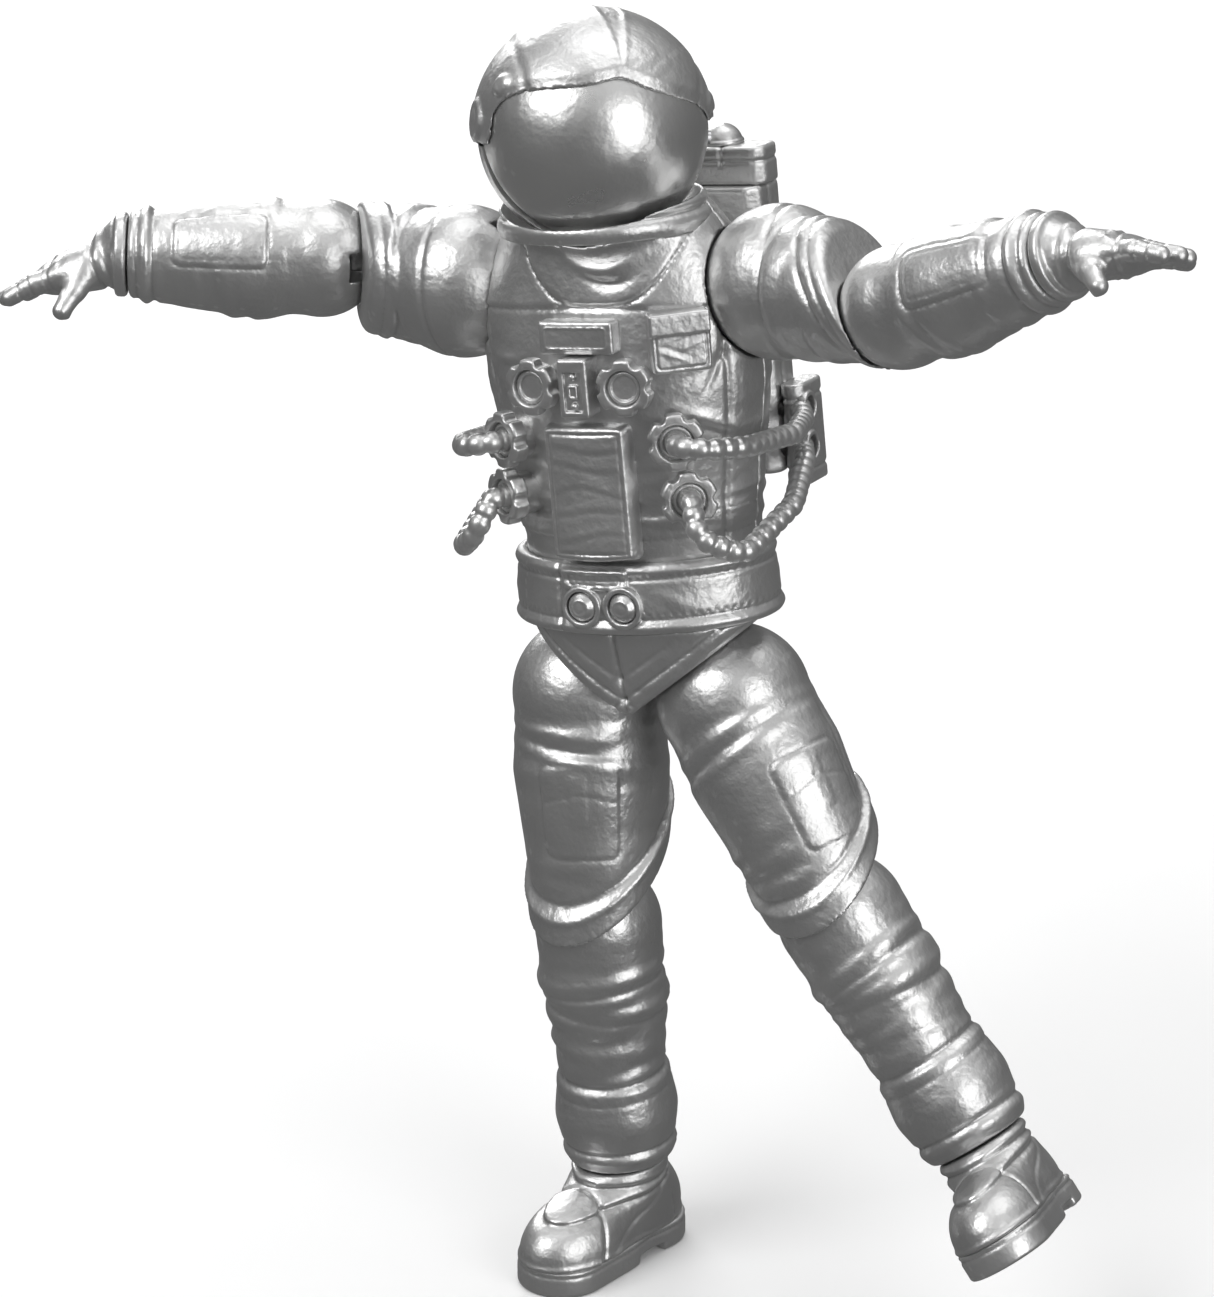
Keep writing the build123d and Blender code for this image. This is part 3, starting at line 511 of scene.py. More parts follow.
def ring_band(t, low, high, edge=0.35):
    """1 between two distances along a limb and 0 beyond, with soft edges."""
    return step_up(t - low, edge * 2) - step_up(t - high, edge * 2)


# ---- Arms ----------------------------------------------------------------

UPPER_ARM_SHAPE = [(0, 7.7), (2.4, 8.0), (6, 8.35), (9, 8.2), (15, 7.4), (24, 7.0)]
FOREARM_SHAPE = [(-2, 6.5), (2, 6.7), (6, 7.2), (9, 7.2), (15, 6.5), (20, 5.7), (24, 5.4)]

for side, seed in zip(sides, (11, 23)):
    shoulder, elbow = hinges[side, "shoulder"], hinges[side, "elbow"]
    rng = np.random.default_rng(seed)
    arm = Limb(shoulder.centre, elbow.centre)
    clay = arm.clay(10.5, 10.5, 10, 0.27)
    t, a, radius = arm.polar(clay)
    relief = folds(rng, t, a, 11, (4.5, 14.0), 0.5, 0.7) + folds(rng, t, a, 4, (12, 15), 0.35, 0.5)
    relief += dimples(rng, clay, 0.08, 9)
    relief += 0.25 * groove(t - 5.0 - 0.8 * np.sin(a), 0.7) + 0.15 * bump(t - 6.2 - 0.8 * np.sin(a), 0.8)
    near = -before_mouth(clay, elbow)
    relief *= step_up(t - 3.0, 2.0) * step_up(near - 2.6, 1.5)
    relief += 0.25 * ring_band(near, 0.35, 2.9) - 0.25 * bump(near - 3.4, 0.3)
    relief -= 0.18 * bump(near - 1.7, 0.2)
    field = tube(t, radius, smooth_profile(UPPER_ARM_SHAPE), relief, 2.4, arm.length + 4)
    bulb = clay.ball(shoulder.centre, SHOULDER_BULB)
    armhole = clay.along(waist, torso.x) * (1 if side == "left" else -1) - 22.2
    bulb += 0.25 * bump(armhole, 0.35) * step_up(t + 1.0, 2.0)
    field = blend_union(field, bulb, 1.0)
    field = with_tongue(clay, with_seat(clay, with_slot(clay, field, shoulder), elbow), elbow)
    cast(f"{side}_sleeve", clay, field, f"{side}_arm", "suit_silver", [f"{side}_upper_arm"])

    wrist = place(f"{side}_wrist_swivel")
    fore = Limb(elbow.centre, wrist)
    clay = fore.clay(9.5, 9, 1.5, 0.25)
    t, a, radius = fore.polar(clay)
    up = 1 if side == "right" else -1
    relief = folds(rng, t, a, 9, (4.0, 12.0), 0.42, 0.6) + folds(rng, t, a, 7, (13, 20), 0.4, 0.6)
    relief += dimples(rng, clay, 0.07, 8)
    across = 6.8 * wrapped(a - up * 0.62)
    pocket = plate(t - 12.0, across, 5.6, 3.2, 0.9, 0.5)
    relief = relief * (1 - 0.85 * pocket) + 0.12 * pocket
    relief += 0.17 * outline_groove(t - 12.0, across, 5.9, 3.5, 1.0, 0.35)
    relief += 0.08 * outline_groove(t - 12.0, across, 4.9, 2.5, 0.7, 0.25)
    relief *= step_up(t - 4.2, 2.0)
    relief += 0.5 * bump(wrapped(a + up * 1.2), 0.9) * bump(t - 8.5, 3.5) * step_up(t - 5, 3)
    relief -= 0.28 * bump(t - 20.2, 0.35)
    relief += 0.4 * bump(t - 21.2, 0.6) - 0.25 * bump(t - 22.2, 0.3)
    field = tube(t, radius, smooth_profile(FOREARM_SHAPE), relief, 2.0, fore.length - 0.2)
    field = blend_union(field, clay.ball(elbow.centre, ELBOW_BULB), 0.8)
    field = with_slot(clay, field, elbow)
    field = np.maximum(field, -np.maximum(radius - 2.1, fore.length - 5.5 - t))
    cast(f"{side}_lower_sleeve", clay, field, f"{side}_lower_arm", "suit_silver", [f"{side}_forearm"])


# ---- Gloves --------------------------------------------------------------

# Directions of the open hands and of their palms
HAND_OUT = {"right": (-0.90, -0.26, -0.34), "left": (0.97, -0.18, 0.21)}
PALM_DOWN = {"right": (0.0, -0.25, -1.0), "left": (0.15, -0.45, -1.0)}
FINGERS = [(-2.7, 6.2), (-0.9, 7.2), (0.9, 7.0), (2.7, 5.8)]    # place across, length
FINGER_R = 1.25

for side in sides:
    wrist = place(f"{side}_wrist_swivel")
    cuff_out = unit(wrist - place(f"{side}_elbow_bend"))
    out = unit(HAND_OUT[side])
    down = square_to(PALM_DOWN[side], out)
    across = np.cross(down, out) * (1 if side == "right" else -1)
    hand = Frame(wrist, across, out)
    clay = Clay(np.minimum(wrist, wrist + out * 16) - 7.5, np.maximum(wrist, wrist + out * 16) + 7.5, 0.16)
    palm = clay.egg(hand, (0.2, 0.0, 7.4), (4.6, 2.5, 4.9))
    heel = clay.egg(hand, (-1.0, 0.0, 5.2), (3.2, 2.6, 3.4))
    field = blend_union(palm, heel, 1.6)
    cuff = clay.rod(wrist + cuff_out * 0.2, wrist + out * 3.4, 4.6, 3.1)
    field = blend_union(field, cuff, 1.2)
    for index, (spot, length) in enumerate(FINGERS):
        spread = unit(out + across * (spot * 0.035) + down * 0.03 * abs(index - 1.5))
        root = wrist + out * 8.2 + across * spot
        middle = root + spread * (length * 0.55) - down * 0.15
        tip = root + spread * (length + 0.6) + down * 0.35
        first, last = clay.rod(root, middle, 1.38, FINGER_R), clay.rod(middle, tip, FINGER_R, 1.05)
        finger = blend_union(first, last, 0.5)
        for joint_at in (0.30, 0.62, 0.86):
            along = clay.along(root, spread) - length * joint_at
            finger += 0.1 * bump(along, 0.22)
        field = blend_union(field, finger, 0.55)
    thumb_out = unit(out * 0.75 - across * 0.55 + down * 0.7)
    thumb_root = wrist + out * 4.2 - across * 2.4
    thumb_bend, thumb_tip = thumb_root + thumb_out * 3.6, thumb_root + thumb_out * 6.8
    thumb = clay.rod(thumb_root, thumb_bend, 1.75, 1.4)
    thumb = blend_union(thumb, clay.rod(thumb_bend, thumb_tip, 1.35, 1.1), 0.5)
    field = blend_union(field, thumb, 1.1)
    reach = clay.along(wrist, out)
    x = clay.along(wrist, hand.x)
    field += 0.22 * bump(reach - 3.6, 0.35) - 0.28 * bump(reach - 2.6, 0.6)
    seam = 0.12 * bump(reach - 8.7 - 0.05 * x * x, 0.3)
    knuckles = 0.2 * bump(reach - 8.0, 0.5) * bump(np.sin(x * 1.75), 0.6)
    field += seam - knuckles
    rim = clay.along(wrist, cuff_out)
    field = blend_union(field, clay.disc(Frame(wrist, UP, cuff_out), 5.15, 0.0, 1.5, 0.5), 0.4)
    field = np.maximum(field, -rim)
    wrist_bore = clay.off_axis(wrist, cuff_out) - 2.05
    field = np.maximum(field, -np.maximum(wrist_bore, rim - 1.1))
    cast(f"{side}_glove_shape", clay, field, f"{side}_glove", "suit_silver", [f"{side}_hand"])


# ---- Legs ----------------------------------------------------------------

THIGH_SHAPE = [(0, 8.6), (2.4, 9.1), (9, 9.55), (19, 8.5), (26, 7.9), (32, 7.8)]
SHIN_SHAPE = [(-2, 7.2), (1.6, 7.5), (8, 7.8), (15, 6.9), (19, 6.7), (25, 7.0), (29, 6.6), (32, 6.0)]

for side, seed in zip(sides, (31, 47)):
    hip, knee = hinges[side, "hip"], hinges[side, "knee"]
    rng = np.random.default_rng(seed)
    leg = Limb(hip.centre, knee.centre)
    clay = leg.clay(11, 10, 9, 0.29)
    t, a, radius = leg.polar(clay)
    relief = folds(rng, t, a, 9, (5, 24), 0.5, 0.8) + folds(rng, t, a, 6, (19, 26), 0.4, 0.7)
    relief += dimples(rng, clay, 0.1, 10)
    inner = 1 if side == "right" else -1
    relief += 0.28 * bump(t - 3.6 + 1.6 * np.sin(a) * inner, 0.9) * bump(wrapped(a), 1.3)
    relief -= 0.25 * bump(t - 5.4 + 1.6 * np.sin(a) * inner, 0.6) * bump(wrapped(a), 1.3)
    relief += 0.2 * bump(t - 6.6 + 1.4 * np.sin(a) * inner, 0.8) * bump(wrapped(a), 1.2)
    spot, across = (13.2, 8.8 * wrapped(a + 0.2)) if side == "right" else (15.0, 8.8 * wrapped(a + 1.05))
    pocket = plate(t - spot, across, 5.6, 4.6, 1.2, 0.6)
    relief = relief * (1 - 0.6 * pocket) + 0.14 * pocket
    relief += 0.14 * outline_groove(t - spot, across, 5.9, 4.9, 1.2, 0.35)
    relief += 0.14 * groove(t - spot + 2.4 - 0.28 * np.abs(across), 0.35) * pocket
    relief += 0.1 * ring_band(across, -0.9, 0.9, 0.2) * plate(t - spot + 1.5, across, 3.2, 4, 0.5, 0.3)
    near = -before_mouth(clay, knee)
    relief *= step_up(t - 2.5, 1.5) * step_up(near - 2.8, 1.5)
    relief += 0.6 * ring_band(near, 0.3, 3.3) - 0.2 * bump(near - 3.9, 0.3) + 0.2 * bump(near - 2.9, 0.35)
    seam_side = wrapped(a - inner * 1.75)
    relief -= 0.22 * bump(8.0 * seam_side, 0.3) * step_up(t - 5, 2) * step_up(near - 4, 1)
    field = tube(t, radius, smooth_profile(THIGH_SHAPE), relief, 2.4, leg.length + 4)
    field = blend_union(field, clay.ball(hip.centre, HIP_BULB), 1.0)
    field = with_tongue(clay, with_seat(clay, with_slot(clay, field, hip), knee), knee)
    cast(f"{side}_trouser_top", clay, field, f"{side}_upper_leg", "suit_silver", [f"{side}_thigh"])

    shin = Limb(knee.centre, place(f"{side}_ankle_swivel"))
    clay = shin.clay(10, 9.5, 1.5, 0.27)
    t, a, radius = shin.polar(clay)
    relief = folds(rng, t, a, 12, (4.5, 14), 0.55, 0.75) + folds(rng, t, a, 8, (14, 19), 0.35, 0.6)
    relief += dimples(rng, clay, 0.1, 9)
    relief += 0.2 * bump(t - 5.4 - 0.8 * np.sin(a), 0.7) - 0.28 * bump(t - 7.0 - 0.8 * np.sin(a), 0.5)
    relief += 0.18 * bump(t - 8.6 + np.sin(a), 0.8) - 0.22 * bump(t - 10.2 + np.sin(a), 0.5)
    relief *= step_up(t - 3.6, 1.5) * (1 - 0.7 * ring_band(t, 20.5, 30))
    edge = t - 19.6 - 0.5 * np.cos(a)
    relief += 0.35 * step_up(edge, 0.8) - 0.3 * bump(edge + 0.7, 0.35) - 0.12 * bump(edge - 1.6, 0.25)
    relief += 0.3 * bump(edge - 5.0, 2.4) - 0.35 * bump(t - 28.4, 0.35) + 0.25 * bump(t - 29.6, 0.6)
    relief -= 0.2 * bump(7.2 * wrapped(a + inner * 1.9), 0.3) * step_up(t - 5, 2)
    field = tube(t, radius, smooth_profile(SHIN_SHAPE), relief, 1.6, shin.length - 0.2)
    field = blend_union(field, clay.ball(knee.centre, KNEE_BULB), 0.9)
    field = with_slot(clay, field, knee)
    field = np.maximum(field, -np.maximum(radius - 2.5, shin.length - 6.5 - t))
    cast(f"{side}_trouser_leg", clay, field, f"{side}_lower_leg", "suit_silver", [f"{side}_shin"])


# ---- Boots ---------------------------------------------------------------

ANKLE_HEIGHT = 12.5
SOLE_TOP = 3.4
HEADING = {"right": (-0.30, -0.955, 0.0), "left": (0.12, -0.985, 0.10)}

for side in sides:
    ankle = place(f"{side}_ankle_swivel")
    shin_down = unit(ankle - place(f"{side}_knee_bend"))
    floor_up = UP if side == "right" else -shin_down
    toe = square_to(HEADING[side], floor_up)
    floor = Frame(ankle - floor_up * ANKLE_HEIGHT, np.cross(toe, floor_up), floor_up)
    clay = clay_over(floor, (-7.5, 7.5), (-11, 18.5), (-0.8, 14.5), 0.22)
    x, y, z = clay.local(floor)

    body = clay.egg(floor, (0, 8.9, 4.0), (5.6, 8.2, 5.4))
    body = blend_union(body, clay.egg(floor, (0, -3.2, 5.0), (4.9, 5.9, 6.2)), 3.0)
    shaft = clay.rod(floor.out(0, 0.3, 14), floor.out(0, 0.6, 6), 5.9, 5.3)
    body = blend_union(body, shaft, 3.0)
    instep = clay.rod(floor.out(0, 2.0, 8.8), floor.out(0, 9.0, 4.6), 4.6, 4.2)
    body = blend_union(body, instep, 2.0)
    toe_cap = y - 9.6 - 0.035 * x * x + 0.25 * (z - 4)
    body += -0.28 * step_up(toe_cap, 0.7) + 0.25 * bump(toe_cap + 0.5, 0.3)
    vamp = z - 8.4 + 0.55 * (y - 2.0) + 0.03 * x * x
    body += 0.12 * bump(vamp, 0.35) - 0.1 * step_up(-vamp, 1.0)
    for height, lean in ((9.6, 0.10), (11.0, 0.02)):
        wrinkle = z - height + lean * y
        body += 0.3 * bump(wrinkle, 0.35) - 0.2 * bump(wrinkle - 0.75, 0.4)
    heel_seam = y + 4.4 - 0.2 * (z - 4)
    body += 0.16 * bump(heel_seam, 0.25) * step_up(7.4 - z, 1)
    body -= 0.25 * bump(z - SOLE_TOP - 0.35, 0.35)
    collar = clay.along(ankle, shin_down)
    body = blend_cut(body, -collar, 0.5)
    body = np.maximum(body, SOLE_TOP - z)
    peg_way = clay.off_axis(ankle, shin_down) - 2.45
    body = np.maximum(body, -np.maximum(peg_way, collar - 2.05))
    stand = np.sqrt(x * x + y * y) - 1.6
    body = np.maximum(body, -np.maximum(stand, z - 5.0))
    cast(f"{side}_boot_upper", clay, body, f"{side}_foot", "suit_silver", [f"{side}_boot"])

    rim = np.sqrt(x * x + np.maximum(np.abs(y - 3.9) - 7.7, 0) ** 2)
    waistline = 0.45 * bump(y - 0.6, 2.6)
    side_wall = rim - 5.6 + waistline
    side_wall += 0.22 * bump(z - 2.75, 0.22)
    slab = blend_cut(blend_cut(side_wall, z - SOLE_TOP, 0.5), -z, 0.5)
    arch = np.maximum(z - 1.1, np.abs(y - 0.4) - 2.3)
    slab = blend_cut(slab, -arch, 0.35)
    tread = np.maximum(z - 0.45, np.abs((y + 20.0) % 1.9 - 0.95) - 0.3)
    tread = np.maximum(tread, 0.9 - np.abs(x) + 0.1)
    slab = np.maximum(slab, -np.maximum(tread, rim - 4.4))
    slab = np.maximum(slab, -stand)
    cast(f"{side}_boot_sole", clay, slab, f"{side}_foot", "sole_silver", [f"{side}_sole"])


# ---- Torso, belt and pelvis ----------------------------------------------

TORSO_SECTIONS = [          # height, half width, half depth, shift back, here and below
    (-2.0, 15.3, 11.3, 0.0),
    (6.0, 14.6, 10.9, 0.0),
    (16.0, 16.0, 11.8, 0.0),
    (27.0, 17.6, 12.4, 0.0),
    (37.0, 18.2, 11.6, 0.0),
    (44.0, 14.0, 10.2, -0.5),
    (48.5, 11.2, 10.0, -2.0),
]
COLLAR_SEAT = [(44.8, 12.7, 11.7, -2.6), (47, 12.3, 11.3, -2.9), (50, 11.8, 11, -3.2)]
COLLAR = [
    (44.0, 12.6, 11.6, -2.5),
    (45.0, 12.75, 11.75, -2.6),
    (47.0, 12.6, 11.6, -2.9),
    (49.4, 11.7, 10.9, -3.2),
    (50.5, 11.2, 10.4, -3.4),
]
BELT = [(-3, 16.7, 12.7, 0), (0, 16.5, 12.5, 0), (3, 16.3, 12.35, 0), (7, 16.0, 12.2, 0)]
HELMET_R, VISOR_R = 14.2, 13.5
SHELL_WALL, VISOR_WALL = 0.65, 0.9
COLLAR_GAP = 0.3
RING_R = 3.4
CONNECTORS = {              # x, y, z on the suit and how far each faces sideways
    "upper_connectors": (5.9, -12.6, 28.2, 8),
    "middle_connectors": (10.7, -10.9, 21.4, 28),
    "lower_connectors": (11.4, -10.3, 14.4, 32),
}
head_place = place("head_nod")


def section(z, column, sections):
    heights = [s[0] for s in sections]
    values = [s[column] for s in sections]
    fit = np.polynomial.Polynomial.fit(heights, values, min(5, len(sections) - 2))
    plain = np.interp(z, heights, values)
    return (0.5 * plain + 0.5 * np.clip(fit(z), plain - 0.35, plain + 0.35)).astype(np.float32)


def oval(x, y, z, sections):
    """Distance from a body of oval cross-sections."""
    w, d = section(z, 1, sections), section(z, 2, sections)
    y = y - section(z, 3, sections)
    k = np.sqrt((x / w) ** 2 + (y / d) ** 2) + np.float32(1e-4)
    g = np.sqrt((x / w**2) ** 2 + (y / d**2) ** 2) + np.float32(1e-4)
    return k * (k - 1) / g


rng = np.random.default_rng(5)
clay = clay_over(torso, (-19.5, 19.5), (-13.8, 13.5), (-3, 50), 0.29)
x, y, z = clay.local(torso)
a = np.arctan2(x, -y)
front = step_up(-y, 6.0)
relief = dimples(rng, clay, 0.1, 12)
wrinkles = np.zeros_like(x)


def wrinkle_line(at, where, slant, widths):
    """A wandering valley with a ridge above it, and the angle from its middle."""
    turn = wrapped(a - where)
    line = z - at - rng.uniform(-slant, slant) * np.sin(turn)
    width = rng.uniform(*widths)
    return turn, bump(line - 1.3 * width, width) - bump(line, width)


for _ in range(26):         # round the waist
    at, where = rng.uniform(7.5, 13.5), rng.uniform(-np.pi, np.pi)
    turn, ridge = wrinkle_line(at, where, 1.6, (0.45, 0.8))
    wrinkles += rng.uniform(0.2, 0.5) * bump(turn, rng.uniform(0.3, 0.7)) * ridge
for _ in range(16):         # down the sides
    at, where = rng.uniform(15, 34), rng.choice([-1, 1]) * rng.uniform(1.1, 2.4)
    turn, ridge = wrinkle_line(at, where, 9, (0.6, 1.0))
    wrinkles += rng.uniform(0.25, 0.5) * bump(turn, 0.4) * ridge
for _ in range(12):         # between the chest pieces
    at, where = rng.uniform(16, 33), rng.uniform(-0.9, 0.9)
    turn, ridge = wrinkle_line(at, where, 3, (0.5, 0.8))
    wrinkles += rng.uniform(0.1, 0.3) * bump(turn, 0.25) * ridge
relief += wrinkles * SOFTEN * 0.9
yoke = z - 36.8 - 0.4 * np.cos(2 * a)
relief += 0.12 * step_up(yoke, 0.6) - 0.2 * bump(yoke + 0.1, 0.3)
bib = z - 37.4 - 8.5 * np.abs((x - 2.0) / 10.5) ** 3
relief += front * (0.22 * step_up(bib, 0.6) - 0.25 * bump(bib + 0.2, 0.3))
relief -= front * 0.5 * bump(z - 39.9 - 0.1 * (x - 4) ** 2, 0.6) * bump(x - 3.6, 2.2)
relief += front * 0.5 * bump(z - 41.6 - 0.08 * (x - 3) ** 2, 0.9) * bump(x - 3.0, 4.5)
for seam in (-1, 1):
    side_seam = a - seam * 1.22
    relief -= 0.3 * bump(11.5 * side_seam, 0.28) * step_up(z - 8, 2) * step_up(38 - z, 2)
    armhole = seam * x - 16.0 + 0.06 * (z - 38) ** 2 * 0.3
    relief -= 0.35 * bump(armhole, 0.35) * step_up(z - 27, 3)
    relief += 0.25 * plate(z - 10.6, seam * a - 0.85, 1.25, 0.75, 0.3, 0.25)      # a strap end
midline = bump(x, 0.3) * step_up(z - 24, 2) * step_up(38 - z, 2) * front
relief -= 0.12 * midline
relief += (1 - front) * (0.3 * step_up(z - 41, 0.8) - 0.3 * bump(z - 40.9, 0.3))
field = (oval(x, y, z, TORSO_SECTIONS) - relief) * 0.95
field = blend_cut(field, -2.0 - z, 0.3)
field = blend_cut(field, z - 48.5, 1.0)
for side in sides:
    joint = hinges[side, "shoulder"]
    field = with_seat(clay, field, joint)
    inward = -clay.along(joint.centre, joint.out)
    stub = clay.off_axis(joint.centre, joint.out)
    field = np.maximum(field, -np.maximum(stub - 2.1, inward - 16))
field = np.maximum(field, -clay.ball(head_place, HELMET_R + COLLAR_GAP))
collar_room = np.maximum(oval(x, y, z, COLLAR_SEAT), 45.0 - z)
field = np.maximum(field, -collar_room)
neck_room = np.maximum(np.sqrt(x * x + (y + 4) ** 2) - 4.3, 32.5 - z)
field = np.maximum(field, -neck_room)
from_axis = np.sqrt(x * x + y * y)
waist_room = np.minimum(np.maximum(from_axis - 3.7, z - 8.2), np.maximum(from_axis - 8.9, z))
field = np.maximum(field, -waist_room)
cavity = np.maximum(np.maximum(np.abs(x) - 5.5, np.abs(y) - 4.5), np.abs(z - 18) - 6)
field = np.maximum(field, -cavity)
for spot_x, spot_z in ((-9.0, 9.5), (9.0, 9.5), (-8.0, 26.5), (8.0, 26.5)):
    shank = np.sqrt((x - spot_x) ** 2 + (z - spot_z) ** 2)
    field = np.maximum(field, -np.maximum(shank - 1.75, 7.8 - y))
    field = np.maximum(field, -np.maximum(shank - 1.05, -y - 4.2))
cast("suit_chest", clay, np.maximum(field, y + 0.04), "torso", "suit_silver", ["torso_front"])
cast("suit_back", clay, np.maximum(field, 0.04 - y), "torso", "suit_silver", ["torso_back"])

clay = clay_over(torso, (-14, 14), (-16, 10.5), (43.5, 51.5), 0.2)
x, y, z = clay.local(torso)
roll = 0.28 * bump(z - 48.3, 0.55) + 0.32 * bump(z - 46.2, 0.9) - 0.28 * bump(z - 47.4, 0.3)
collar = oval(x, y, z, COLLAR) - roll
collar = blend_cut(blend_cut(collar, z - 49.5, 0.8), 45.0 - z, 0.3)
collar = blend_cut(collar, -clay.ball(head_place, HELMET_R + COLLAR_GAP), 0.3)
hollow = np.sqrt((x / 8.5) ** 2 + ((y + 3.2) / 8.0) ** 2) * 8 - 8
collar = np.maximum(collar, -hollow)
cast("neck_ring", clay, collar, "torso", "suit_silver", ["collar_ring"])

clay = clay_over(torso, (-17.8, 17.8), (-14.2, 13.8), (-3, 7.5), 0.2)
x, y, z = clay.local(torso)
a = np.arctan2(x, -y)
outer = oval(x, y, z, BELT)
outer -= 0.25 * bump(z - 5.6, 0.45) + 0.25 * bump(z + 1.2, 0.45)
outer += 0.18 * bump(z - 4.6, 0.22) + 0.18 * bump(z + 0.2, 0.22)
stitch = 0.5 + 0.5 * np.sin(a * 88)
outer += 0.14 * stitch * (bump(z - 5.0, 0.2) + bump(z - 0.3, 0.2))
outer += 0.24 * bump(x + 6.0, 0.25) * step_up(-y, 4)
outer -= 0.15 * bump(z - 2.2 - 1.2 * np.sin(5 * a), 0.9) * bump(np.sin(3.1 * a + 1), 0.5)
buckle = plate(x + 1.0, z - 4.7, 4.3, 1.25, 0.5, 0.3) * step_up(-y, 4)
outer -= 0.42 * buckle
outer -= 0.2 * outline_groove(x + 1.0, z - 4.7, 3.4, 0.6, 0.3, 0.25) * buckle
inner = oval(x, y, z, TORSO_SECTIONS) - 0.05
belt = blend_cut(np.maximum(outer, -inner), np.abs(z - 2.25) - 4.25, 0.6)
for spot_x in (-2.7, 2.7):
    stud = np.sqrt((x - spot_x) ** 2 + (z - 1.4) ** 2)
    belt = np.maximum(belt, -np.maximum(stud - 1.85, np.abs(y + 12.4) - 0.55))
    belt = blend_union(belt, np.maximum(np.abs(stud - 2.2) - 0.3, np.abs(y + 12.5) - 0.45), 0.3)
cast("waist_belt", clay, belt, "torso", "suit_silver", ["belt"])

clay = clay_over(torso, (-5.2, 5.2), (-14.2, -11), (-1, 4), 0.1)
x, y, z = clay.local(torso)
studs = None
for spot_x in (-2.7, 2.7):
    away = np.sqrt((x - spot_x) ** 2 + (z - 1.4) ** 2)
    dome = clay.egg(torso, (spot_x, -12.3, 1.4), (1.8, 1.1, 1.8))
    dome = blend_cut(dome, y + 11.9, 0.2) - 0.12 * bump(away - 1.0, 0.22)
    studs = dome if studs is None else np.minimum(studs, dome)
cast("belt_domes", clay, studs, "torso", "suit_silver", ["belt_studs"])

PELVIS_SECTIONS = [
    (-17.0, 6.5, 5.0, 0.0),
    (-15.5, 9.5, 7.0, 0.0),
    (-12.0, 11.8, 8.6, 0.0),
    (-9.0, 13.0, 9.6, 0.0),
    (-2.2, 14.8, 11.0, 0.0),
    (0.0, 15.0, 11.2, 0.0),
]
pelvis_z = np.cross(pelvis_x, np.cross(torso.z, pelvis_x))
pelvis = Frame(waist, pelvis_x, pelvis_z)
clay = clay_over(pelvis, (-16, 16), (-12.5, 12.5), (-17.5, 1.5), 0.26)
x, y, z = clay.local(pelvis)
relief = dimples(np.random.default_rng(8), clay, 0.1, 9)
relief -= 0.45 * bump(x - 0.15, 0.35) * step_up(np.abs(y), 4)
for side in sides:
    lip = -before_mouth(clay, hinges[side, "hip"])
    relief += 0.12 * ring_band(lip, 0.2, 1.6, 0.3) - 0.25 * bump(lip - 2.0, 0.3)
    relief -= 0.3 * bump(lip - 4.2, 0.5) * bump(z + 6, 3)
field = (oval(x, y, z, PELVIS_SECTIONS) - relief) * 0.95
under_belt = clay.along(waist, torso.z) + 2.2
field = blend_cut(field, under_belt, 0.4)
from_axis = np.sqrt(np.maximum(clay.ball(waist, 0) ** 2 - (under_belt - 2.2) ** 2, 0))
field = np.minimum(field, np.maximum(from_axis - 8.7, np.abs(under_belt - 0.45) - 1.45))
for side in sides:
    joint = hinges[side, "hip"]
    field = with_seat(clay, field, joint)
    inward = -clay.along(joint.centre, joint.out)
    stub = clay.off_axis(joint.centre, joint.out)
    field = np.maximum(field, -np.maximum(stub - 2.1, np.abs(inward - 11) - 2.2))
    field = np.maximum(field, -np.maximum(stub - 3.1, np.abs(inward - 11.2) - 0.65))
cast("hip_block", clay, field, "pelvis", "suit_silver", ["pelvis"])


# ---- Pieces on the chest -------------------------------------------------

def chest_clay(spot, size, step):
    """Clay round a piece on the chest, square to the torso."""
    x, y, z = spot
    w, d, h = (s / 2 + 1.2 for s in size)
    return clay_over(torso, (x - w, x + w), (y - d, y + d), (z - h, z + h), step)


spot = (0.2, -12.6, 34.0)
base = torso.at(*spot)
clay = chest_clay(spot, (9.6, 2.4, 4.0), 0.13)
x, y, z = clay.local(base)
name_plate = clay.block(base, (9.6, 2.4, 4.0), 0.45) + 0.12 * outline_groove(x, z, 4.0, 1.25, 0.4, 0.25)
cast("blank_plate", clay, name_plate, "torso", "suit_silver", ["name_plate"])

spot = (11.6, -9.6, 33.0)
base = torso.at(*spot).spun(36)
clay = chest_clay(spot, (9.5, 8.5, 7.4), 0.14)
x, y, z = clay.local(base)
crease = 0.08 * (bump(z + 0.8 - 0.3 * x, 0.35) - bump(z - 0.2 - 0.3 * x, 0.35)) * bump(x - 1, 2)
crease += 0.07 * (bump(z + 2.0 + 0.4 * x, 0.3) - bump(z + 1.2 + 0.4 * x, 0.3)) * bump(x + 1, 1.6)
pocket = clay.block(base, (7.2, 2.8, 7.2), 0.55) - crease
pocket -= 0.16 * outline_groove(x, z, 3.0, 3.0, 0.6, 0.25)
flap = clay.block(base.at(0, -1.25, 2.2), (7.3, 0.6, 2.6), 0.28)
pocket = blend_union(pocket, flap, 0.2)
cast("chest_patch", clay, pocket, "torso", "suit_silver", ["chest_pocket"])

